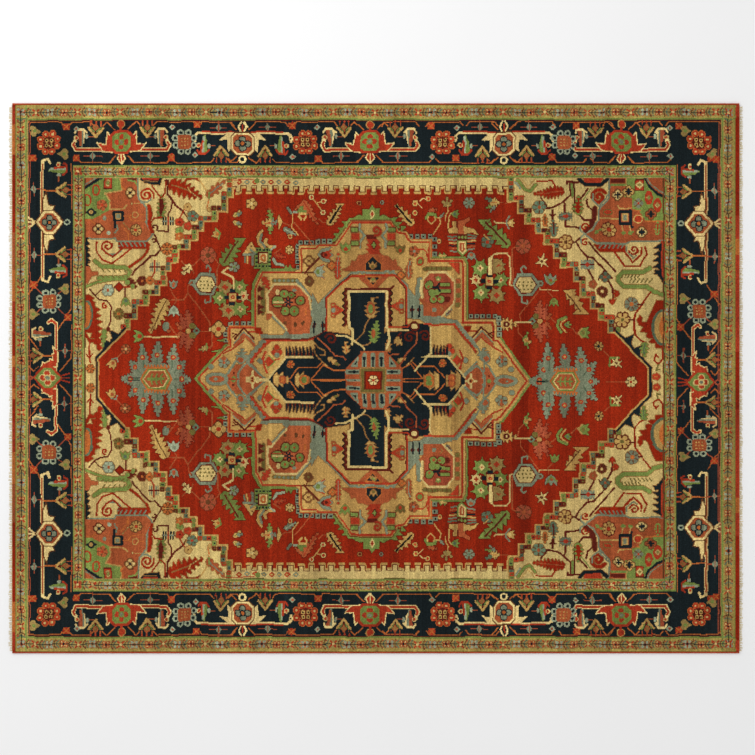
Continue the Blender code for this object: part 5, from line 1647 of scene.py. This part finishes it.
def east_garden(s):
    """The same of the east half, where the weaver set other buds on the same stems."""
    s.ring("slate", "maroon", 3, 87.8, 1.0, 0.5)
    s.leaf("gold", None, 18.6, 77, 10.2, 86.8, 5.6, 5)
    s.line("black", 1.0, (17.8, 78), (10.6, 86.2))
    s.line("cream", 0.5, (21, 88), (22.4, 86.6), (23.8, 85.2))
    s.line("cream", 0.5, (22.2, 88.6), (23.6, 89.8), (26, 90))
    for x, v in ((20, 87.6), (26.3, 90), (19.9, 83)):
        s.ring("gold", "brick", x, v, 1.3, 0.6)
    s.line("green", 1.5, (25.2, 80.4), (26.6, 82.6), (29.4, 82.2), (30, 80.8))
    s.line("gold", 0.5, (26.2, 81), (26, 78.8), (27.8, 76.8), (29.8, 79), (29.4, 81))
    s.leaf("coral", None, 26.4, 84, 30.6, 84.8, 2.6, 3)
    s.line("gold", 0.4, (30, 80.2), (31.8, 80.6), (32.6, 77), (29.2, 72))
    s.leaf("slate", None, 32.2, 80.6, 34, 82.8, 1.8, 2)
    for out, high in ((-2.4, 89), (0, 90.8), (2.6, 89.2)):
        s.leaf("khaki", None, 35.6, 86, 35.6 + out, high, 2.6, 2)
    s.line("gold", 0.5, (35.8, 86.4), (36.2, 83.4), (35, 81.4), (34.8, 78.6))
    s.line("gold", 0.4, (37.8, 82.8), (36.5, 80.6), (36.6, 75))
    s.tulip("green", "teal", 39.6, 82, 2.2, 0)
    s.flower("slate", "teal", 47, 87.6, 2.8, count=6)
    s.leaf("gold", "orange", 57.2, 88, 62, 87.6, 5.0, 4)
    s.line("coral", 0.5, (62, 87.8), (66, 87.8))
    s.leaf("teal", None, 58, 88.6, 54.8, 90.2, 2.6, 2)
    s.leaf("green", None, 58, 86, 54.8, 85, 2.0, 2)
    s.leaf("slate", None, 59.6, 86, 57, 83, 1.8, 2)
    s.patch("coral", (41, 72), (41.6, 78.6), (44, 78.8), (47.4, 80.6), (47.6, 79.2), (45, 77), (44, 72))
    s.patch("gold", (36.4, 72.6), (36.8, 74.6), (39, 75.2), (38.4, 78.6), (40.6, 78.2), (41, 72.4))
    s.patch("gold", (44.2, 72), (44.2, 76.2), (46, 75.2), (49.6, 74.8), (52, 71.8), (48.6, 72.8))
    for k, yarn in enumerate(("teal", "slate", "gold", "navy", "coral", "slate")):
        s.line(yarn, 0.8, (36.2 + 0.3 * k, 71.2 - 1.5 * k), (40.4, 70.6 - 1.5 * k))
        s.line(yarn, 0.8, (46, 71.6 - 1.5 * k), (50.6 - 0.2 * k, 71.2 - 1.3 * k))
    block(s, "maroon", 40.6, 46, 69.2, 71.6)
    for k in range(3):
        s.disc("green", 41.6 + 1.7 * k, 70.4, 0.7)
    s.patch("green", (40.6, 69), (45.8, 69), (45.8, 63.6), (43.2, 60.6), (40.6, 63.6))
    s.patch("cream", (41.2, 68.4), (45.2, 68.4), (45.2, 63.8), (43.2, 61.8), (41.2, 63.8))
    s.patch("coral", (41.8, 67.8), (44.7, 67.8), (44.7, 64.2), (43.2, 62.6), (41.8, 64.2))
    s.line("ivory", 0.7, (43.2, 66.6), (43.2, 64.2))
    s.tulip("slate", "coral", 47.8, 61.4, 2.4, 270)
    s.ring("gold", "brick", 32, 68.3, 1.2, 0.6)
    s.leaf("gold", None, 32, 61, 35.6, 61.4, 1.8, 2)
    s.flower("teal", "brick", 56, 68.4, 2.8, count=5)
    s.line("gold", 0.5, (54.4, 72), (56.6, 69.8))
    s.leaf("green", None, 66.6, 65.8, 53, 79.4, 7.6, 6)
    s.patch("green", (51.4, 79.8), (57.6, 79.8), (54, 76))
    s.line("maroon", 0.9, (65.4, 67), (55, 78.2))
    s.line("cream", 0.5, (59, 78.4), (60, 77.6), (65.4, 77.5))
    s.tulip("gold", "cream", 67.6, 77.6, 2.2, 0)
    s.line("slate", 0.8, (66.8, 81), (65.4, 78.6), (65.4, 76.8), (67, 74.6))
    s.patch("cream", (56.6, 52), (56.6, 60.8), (58.4, 61.4), (58.4, 52))
    s.patch("khaki", (58.8, 53), (58.8, 60), (64, 59.6), (60.6, 56), (64.6, 57), (61, 53))
    s.line("cream", 0.6, (57.5, 61), (59.4, 62.4), (65.8, 62.4), (67.4, 60.4), (67.4, 46.6), (69.2, 46.2))
    s.line("coral", 0.4, (71, 66), (68.6, 64.6), (68.6, 47.4))
    s.flower("rose", "coral", 74, 66, 4.0, count=7)
    ragged_star(s, 83, 58.4, 3.4)
    s.tulip("slate", "coral", 87.6, 49, 3.2, 90)
    s.line("green", 0.7, (85.8, 51), (87.4, 47.4), (90.6, 49.6))
    s.line("cream", 0.5, (82, 45.2), (82.2, 44.2), (91.4, 44.2))
    s.line("coral", 0.5, (86.4, 46), (86.4, 43.4), (88.6, 40.8))
    s.tulip("green", "olive", 89.4, 38.4, 2.4, 270)
    s.line("coral", 0.5, (81.4, 43.4), (72.4, 32), (72.4, 28.4))
    s.leaf("gold", None, 96.4, 43, 104, 33, 6.4, 4)
    s.patch("gold", (94.2, 44.3), (100.4, 44.3), (97, 41))
    s.patch("gold", (98.4, 32.2), (106.4, 32.2), (102.6, 36.4))
    s.line("brown", 0.7, (96.2, 42), (102.4, 33.4))
    s.line("cream", 0.5, (69.6, 28), (77.4, 28))
    s.leaf("gold", None, 62.6, 27, 70.4, 27, 6.8, 4)
    s.ring("maroon", "cream", 65.3, 27, 1.6, 1.1)
    s.disc("brown", 68.6, 26.8, 0.7)
    s.line("coral", 0.5, (71, 26.6), (71.8, 22.4), (74.4, 19.8))
    s.leaf("green", None, 74, 20.4, 77, 14.6, 2.2, 3)
    s.leaf("gold", "orange", 74.4, 19.6, 78, 17.8, 2.8, 2)
    s.leaf("green", None, 75, 20, 76.6, 23.2, 1.6, 2)
    s.line("coral", 0.4, (87, 31), (90.4, 27.8))
    s.line("green", 1.3, (95.4, 30.4), (91.8, 29), (91.2, 26), (93, 23.2))
    s.line("gold", 0.7, (95.8, 29.6), (93.2, 28), (93, 26), (95.4, 23))
    s.tulip("green", "teal", 96, 26.8, 1.8, 0)
    s.line("coral", 0.4, (98.2, 25), (100.6, 22))
    s.tulip("green", "olive", 104, 22.8, 3.0, 0)
    s.line("gold", 0.8, (103, 25), (101.2, 22.6), (103.2, 20.2))
    s.flower("gold", "navy", 111.8, 16, 2.4, count=7)
    s.line("coral", 0.4, (114.4, 13.6), (117.2, 11))
    s.line("green", 0.9, (122, 10.2), (117.4, 10.2), (117.2, 6.2))
    ragged_star(s, 120.4, 7.6, 3.0)
    s.line("coral", 0.4, (111, -2), (126, -2))
    s.flower("cream", "brick", 128, -2, 2.8, count=6)


def lantern(s):
    """A box of checks with a gold heart, combs on one side and a pale crescent on the other."""
    block(s, "green", -60.6, -52, 54.8, 65.2)
    for k in range(5):
        for x0, v0 in ((-59.6 + 1.8 * k, 64.2), (-59.6 + 1.8 * k, 56), (-59.6, 56 + 2.0 * k),
                (-52.8, 56 + 2.0 * k)):
            s.disc("navy", x0, v0, 0.6)
    s.edged("cream", "maroon", 0.4, (-58.6, 57.4), (-54, 57.4), (-54, 62.8), (-58.6, 62.8))
    s.disc("orange", -56.3, 60, 1.5, 2.1)
    s.disc("cream", -56.3, 60, 0.6, 1.0)
    for k, yarn in enumerate(("slate", "brick", "gold", "teal")):
        s.line(yarn, 0.9, (-61.6 - 1.3 * k, 56.6 + 0.5 * k), (-61.6 - 1.3 * k, 61.6 - 0.4 * k))
    s.patch("gold", (-66.6, 62), (-61.8, 68.4), (-59.6, 63.6))
    s.disc("brown", -61.8, 66, 0.6)
    s.line("slate", 1.2, (-66, 61.6), (-62, 61.8), (-60.4, 62.4))
    s.line("slate", 1.0, (-62.6, 64.2), (-60.6, 62.4))
    s.line("gold", 1.4, (-56.8, 73.6), (-58.6, 70.6), (-58, 67), (-56, 65.2))
    s.line("slate", 1.1, (-56.6, 72), (-57.6, 68.6), (-55.4, 65.4))
    s.line("gold", 1.3, (-54.6, 69.4), (-55.4, 67.4), (-53, 65.6), (-50.4, 65.6))
    s.line("sky", 1.0, (-50.4, 66), (-52.4, 64.2))
    s.line("sky", 1.3, (-50.8, 59.6), (-49.6, 57.2), (-46, 56.6))
    s.line("coral", 0.8, (-50.6, 62.4), (-47.4, 64.4))
    s.leaf("brick", "coral", -50.4, 61.6, -44.6, 60.4, 3.4, 4)


west_garden(ground)
lantern(ground)
east_garden(ground)


# The knots of the field, area by area: the two halves of the red ground, the four corners, the two
# margins and the medallion. They share one foundation and stand edge to edge.
dark_edge("ground", "madder", "deep_madder")
dark_edge("spandrel", "cream", "tan")
dark_edge("medallion", "gold", "tan")
in_field = (X > FIELD_WEST) & (X < FIELD_EAST) & (abs(Y) < field_north)
_, area_read = read_cartoon(X, Y)
corner_field = in_field & (area_read == "spandrel")
margin_field = in_field & (area_read == "margin")
medallion_field = in_field & (area_read == "medallion")
ground_field = in_field & (area_read == "ground")
north = Y > field_middle(X)
west = X < -1.0
for side, chosen in (("nw", north & west), ("ne", north & ~west), ("sw", ~north & west),
        ("se", ~north & ~west)):
    tie_knots(f"corner_{side}", f"spandrel_pile_{side}", corner_field & chosen, spandrel_wool)
for side, chosen in (("north", north), ("south", ~north)):
    tie_knots(f"margin_{side}", f"margin_pile_{side}", margin_field & chosen, spandrel_wool)
for side, chosen in (("west", west), ("east", ~west)):
    tie_knots(f"ground_{side}", f"ground_pile_{side}", ground_field & chosen, ground_wool)
tie_knots("medallion_west", "medallion_pile", medallion_field & west, medallion_wool)
tie_knots("medallion_east", "medallion_pile", medallion_field & ~west, medallion_wool)


# Foundation: cotton warps with the wefts beaten down between the rows of knots, one sheet under the
# whole pile. The back of every knot shows through on its underside.
BACK_PITCH = 1.2
WEAVE_RIB = 0.0003
RIM = 1e-5
WARP_COTTON = (206, 186, 142)
WEFT_COTTON = (196, 178, 138)
WOOL_SHOWN = 0.78


def cotton(name, colour, ribs_x, ribs_y, rib_depth, see_dye):
    """Undyed cotton: fine ribs across both ways, with slubs and a little grime."""
    material, look, shader, place = start_material(name)
    wave = {"wave_type": "BANDS", "wave_profile": "SIN"}
    across = look.node("ShaderNodeTexWave", {**wave, "bands_direction": "X"},
        {"Vector": place, "Scale": ribs_x, "Distortion": 1.2, "Detail": 1.0}, "Fac")
    along = look.node("ShaderNodeTexWave", {**wave, "bands_direction": "Y"},
        {"Vector": place, "Scale": ribs_y, "Distortion": 1.2, "Detail": 1.0}, "Fac")
    weave = across * along
    slubs = noise(look, place, 90, (1, 0.3, 1))
    grime = noise(look, place, 4, (1, 1, 1), 4.0)
    level = 0.9 + 0.16 * weave + (slubs - 0.5) * 0.3 + (grime - 0.5) * 0.35
    plain = tuple(linear(colour)) + (1.0,)
    if see_dye:
        plain = look.node("ShaderNodeAttribute", {"attribute_name": "dye"}, {}, "Color")
        level = level * 0.95
    coloured = look.tinted(plain if see_dye else plain[:3], level)
    look.tree.links.new(coloured.socket, shader.inputs["Base Color"])
    rough = 0.84 + 0.14 * slubs
    look.tree.links.new(rough.socket, shader.inputs["Roughness"])
    bump = look.node("ShaderNodeBump", {}, {"Height": weave, "Strength": 0.7, "Distance": rib_depth})
    look.tree.links.new(bump.socket, shader.inputs["Normal"])
    shader.inputs["Specular IOR Level"].default_value = 0.15
    return material


foundation_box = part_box("foundation_cloth")
(cloth_west, cloth_south, _), (cloth_east, cloth_north, cloth_top) = foundation_box
back_columns = round((cloth_east - cloth_west) / CM / BACK_PITCH)
back_rows = round((cloth_north - cloth_south) / CM / BACK_PITCH)
shape = bmesh.new()
bmesh.ops.create_grid(shape, x_segments=back_columns, y_segments=back_rows, size=0.5, calc_uvs=False)
for vert in shape.verts:
    vert.co.x = cloth_west + (vert.co.x + 0.5) * (cloth_east - cloth_west)
    vert.co.y = cloth_south + (vert.co.y + 0.5) * (cloth_north - cloth_south)
    inner = min(vert.co.x - cloth_west, cloth_east - vert.co.x, vert.co.y - cloth_south,
        cloth_north - vert.co.y)
    vert.co.z = 0.0 if inner < RIM else WEAVE_RIB * rng.random()
bmesh.ops.reverse_faces(shape, faces=shape.faces)
back_faces = len(shape.faces)
rim = [edge for edge in shape.edges if edge.is_boundary]
walls = bmesh.ops.extrude_edge_only(shape, edges=rim)["geom"]
for part in walls:
    if isinstance(part, bmesh.types.BMVert):
        part.co.z = cloth_top
lid = [part for part in walls if isinstance(part, bmesh.types.BMEdge) and part.is_boundary]
bmesh.ops.holes_fill(shape, edges=lid, sides=0)
mesh = bpy.data.meshes.new("foundation_weave")
shape.to_mesh(mesh)
shape.free()
middles = np.empty(len(mesh.polygons) * 3, np.float32)
mesh.polygons.foreach_get("center", middles)
middles = middles.reshape(-1, 3) / CM
yarn, _ = read_cartoon(middles[:, 0], middles[:, 1])
paint = mesh.attributes.new("dye", "FLOAT_COLOR", "FACE")
colours = np.ones((len(mesh.polygons), 4), np.float32)
shown = dyed(yarn, middles[:, 0], middles[:, 1])
colours[:, :3] = WOOL_SHOWN * shown + 0.22 * linear(WEFT_COTTON)
colours[back_faces:, :3] = linear(WARP_COTTON)
paint.data.foreach_set("color", colours.ravel())
mesh.materials.append(cotton("cotton_foundation", WARP_COTTON, 90, 90, 0.0008, True))
foundation = bpy.data.objects.new("foundation_weave", mesh)
bpy.context.collection.objects.link(foundation)
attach(foundation, "root")
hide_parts("foundation_cloth")


# Webs: a finger's width of plain cotton weave at each end, which locks the last row of knots. They keep
# the solids of the frame and take a woven finish. So do the cords inside the bound sides.
web_cotton = cotton("cotton_web", (214, 190, 140), 160, 160, 0.0005, False)
cord_cotton = cotton("cotton_cord", WARP_COTTON, 120, 400, 0.0004, False)
for node in ("web_end_west", "web_end_east"):
    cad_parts[node].data.materials.clear()
    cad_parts[node].data.materials.append(web_cotton)
for node in ("selvedge_cord_north", "selvedge_cord_south"):
    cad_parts[node].data.materials.clear()
    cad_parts[node].data.materials.append(cord_cotton)


# Fringes: the free ends of the warps, in small bunches of four twisted ends. Each end is a thin round
# strand that leaves the web and droops to the floor.
BUNCH_PITCH = 0.0115
STRANDS = 4
STRAND_RADIUS = 0.0009
STRAND_SIDES = 5
STRAND_PITCH = 0.0019
WARP_HEIGHT = 0.0014
WEB_GRIP = 0.001
LEAN_SPREAD = 0.001
KINK_SPREAD = 0.0011


def strand(root, tip, sideways, high):
    """One twisted warp end: a round section swept from the web down to the floor."""
    shape = bmesh.new()
    ring = bmesh.ops.create_circle(shape, cap_ends=True, segments=STRAND_SIDES,
        radius=STRAND_RADIUS)["verts"]
    for vert in ring:
        vert.co = (root, sideways + vert.co.x, high + vert.co.y)
    grown = list(shape.verts) + list(shape.edges) + list(shape.faces)
    length = tip - root
    fall = high - STRAND_RADIUS * 1.05
    for start, stop in ((0, 0.4), (0.4, 0.75), (0.75, 1)):
        grown = bmesh.ops.extrude_face_region(shape, geom=grown)["geom"]
        verts = [part for part in grown if isinstance(part, bmesh.types.BMVert)]
        step = (length * (stop - start), rng.normal(0, KINK_SPREAD), -fall * (stop ** 2 - start ** 2))
        bmesh.ops.translate(shape, verts=verts, vec=step)
    return shape


single = bpy.data.meshes.new("one_warp_end")
fringe_cotton = cotton("cotton_fringe", (226, 212, 172), 300, 500, 0.0003, False)
for node, out in (("fringe_west", -1), ("fringe_east", 1)):
    (west, south, _), (east, north, fringe_top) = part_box(node)
    root, tip = (east, west) if out < 0 else (west, east)
    shape = bmesh.new()
    for bunch in range(int((north - south) / BUNCH_PITCH)):
        middle = south + (bunch + 0.5) * BUNCH_PITCH
        lean = rng.normal(0, LEAN_SPREAD)
        reach = (tip - root) * rng.uniform(0.8, 1.35)
        for k in range(STRANDS):
            beside = middle + (k - (STRANDS - 1) / 2) * STRAND_PITCH + lean
            end = strand(root - out * WEB_GRIP, root + reach * rng.uniform(0.85, 1.1), beside, WARP_HEIGHT)
            end.to_mesh(single)
            end.free()
            shape.from_mesh(single)
    bmesh.ops.recalc_face_normals(shape, faces=shape.faces)
    mesh = bpy.data.meshes.new(node + "_ends")
    shape.to_mesh(mesh)
    shape.free()
    mesh.materials.append(fringe_cotton)
    ends = bpy.data.objects.new(node + "_ends", mesh)
    bpy.context.collection.objects.link(ends)
    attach(ends, "root")
    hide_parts(node)


# Bound long sides: rust-red wool wound round and round the edge cord, each turn hard against the last.
# A grid bent round the cord stands for the turns, with a ridge for each, and gets a wall inside it.
TURN_PITCH = 0.0036
ROUND = 10
RIDGE = 0.0005
WRAP_WALL = 0.0012
TENSION_SPREAD = 0.00018
FLOOR_GAP = 0.0002


def overcast_wool():
    """Wound wool: ridged round the cord, rust red with lighter and darker lengths of yarn."""
    material, look, shader, place = start_material("overcast_wool")
    lengths = noise(look, place, 7, (1, 0.2, 0.2), 3.0)
    turns = noise(look, place, 300, (1, 0.1, 0.1))
    fibre = noise(look, place, 900)
    level = 0.82 + 0.55 * (lengths - 0.5) + 0.5 * (turns - 0.5) + 0.3 * fibre
    warm = look.node("ShaderNodeMix", {"data_type": "RGBA"},
        {"Factor": lengths, "A": (*linear((140, 42, 22)), 1), "B": (*linear((186, 84, 44)), 1)}, 2)
    coloured = look.tinted(warm, level)
    look.tree.links.new(coloured.socket, shader.inputs["Base Color"])
    rough = 0.84 + 0.14 * fibre
    look.tree.links.new(rough.socket, shader.inputs["Roughness"])
    bump = look.node("ShaderNodeBump", {}, {"Height": fibre + turns, "Strength": 0.5, "Distance": 0.0005})
    look.tree.links.new(bump.socket, shader.inputs["Normal"])
    shader.inputs["Specular IOR Level"].default_value = 0.15
    return material


wound_wool = overcast_wool()
for side in ("north", "south"):
    (west, low_y, low_z), (east, high_y, high_z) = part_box(f"selvedge_overcast_{side}")
    turns = round((east - west) / TURN_PITCH)
    shape = bmesh.new()
    bmesh.ops.create_grid(shape, x_segments=2 * turns, y_segments=ROUND, size=0.5, calc_uvs=False)
    radius = (high_y - low_y) / 2
    tightness = rng.normal(0, TENSION_SPREAD, 2 * turns + 1)
    for vert in shape.verts:
        station = round((vert.co.x + 0.5) * 2 * turns)
        about = (vert.co.y + 0.5) * math.tau
        ridge = radius - (RIDGE if station % 2 else 0.0) + tightness[station]
        vert.co.x = west + station * (east - west) / (2 * turns)
        vert.co.y = (low_y + high_y) / 2 + ridge * math.cos(about)
        vert.co.z = max((low_z + high_z) / 2 - ridge * math.sin(about), FLOOR_GAP)
    bmesh.ops.remove_doubles(shape, verts=shape.verts, dist=1e-5)
    bmesh.ops.recalc_face_normals(shape, faces=shape.faces)
    mesh = bpy.data.meshes.new(f"overcast_turns_{side}")
    shape.to_mesh(mesh)
    shape.free()
    mesh.materials.append(wound_wool)
    wrap = bpy.data.objects.new(f"overcast_turns_{side}", mesh)
    bpy.context.collection.objects.link(wrap)
    wall = wrap.modifiers.new("wall", "SOLIDIFY")
    wall.thickness = WRAP_WALL
    wall.offset = -1
    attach(wrap, "root")
    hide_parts(f"selvedge_overcast_{side}")


# The floor, the studio light and the camera, which looks straight down on the middle of the rug.
VIEW_WIDTH = 3.775
CAMERA_HEIGHT = 9.0
SENSOR = 36.0
FLOOR_SIZE = 30
bpy.context.scene.view_settings.view_transform = "Standard"
shape = bmesh.new()
bmesh.ops.create_grid(shape, x_segments=2, y_segments=2, size=FLOOR_SIZE)
mesh = bpy.data.meshes.new("floor")
shape.to_mesh(mesh)
shape.free()
floor_paint, look, shader, place = start_material("floor_paint")
tone = 0.86 + 0.02 * noise(look, place, 1.5)
white = look.tinted((1.0, 1.0, 1.0), tone)
look.tree.links.new(white.socket, shader.inputs["Base Color"])
shader.inputs["Roughness"].default_value = 0.9
mesh.materials.append(floor_paint)
floor = bpy.data.objects.new("floor", mesh)
bpy.context.collection.objects.link(floor)

world = bpy.data.worlds.new("studio")
bpy.context.scene.world = world
world.use_nodes = True
world.node_tree.nodes["Background"].inputs["Color"].default_value = (1.0, 1.0, 1.0, 1.0)
world.node_tree.nodes["Background"].inputs["Strength"].default_value = 0.82
lamp = bpy.data.lights.new("softbox", "AREA")
lamp.shape = "RECTANGLE"
lamp.size = 4.0
lamp.size_y = 3.0
lamp.energy = 110.0
softbox = bpy.data.objects.new("softbox", lamp)
softbox.location = (-2.6, 2.8, 4.2)
softbox.rotation_euler = (math.radians(-34), math.radians(-30), 0.0)
bpy.context.collection.objects.link(softbox)

lens = bpy.data.cameras.new("camera")
lens.sensor_width = SENSOR
lens.lens = SENSOR * CAMERA_HEIGHT / VIEW_WIDTH
camera = bpy.data.objects.new("camera", lens)
camera.location = (0.0085, 0.004, PILE_TOP + CAMERA_HEIGHT)
bpy.context.collection.objects.link(camera)
bpy.context.scene.camera = camera
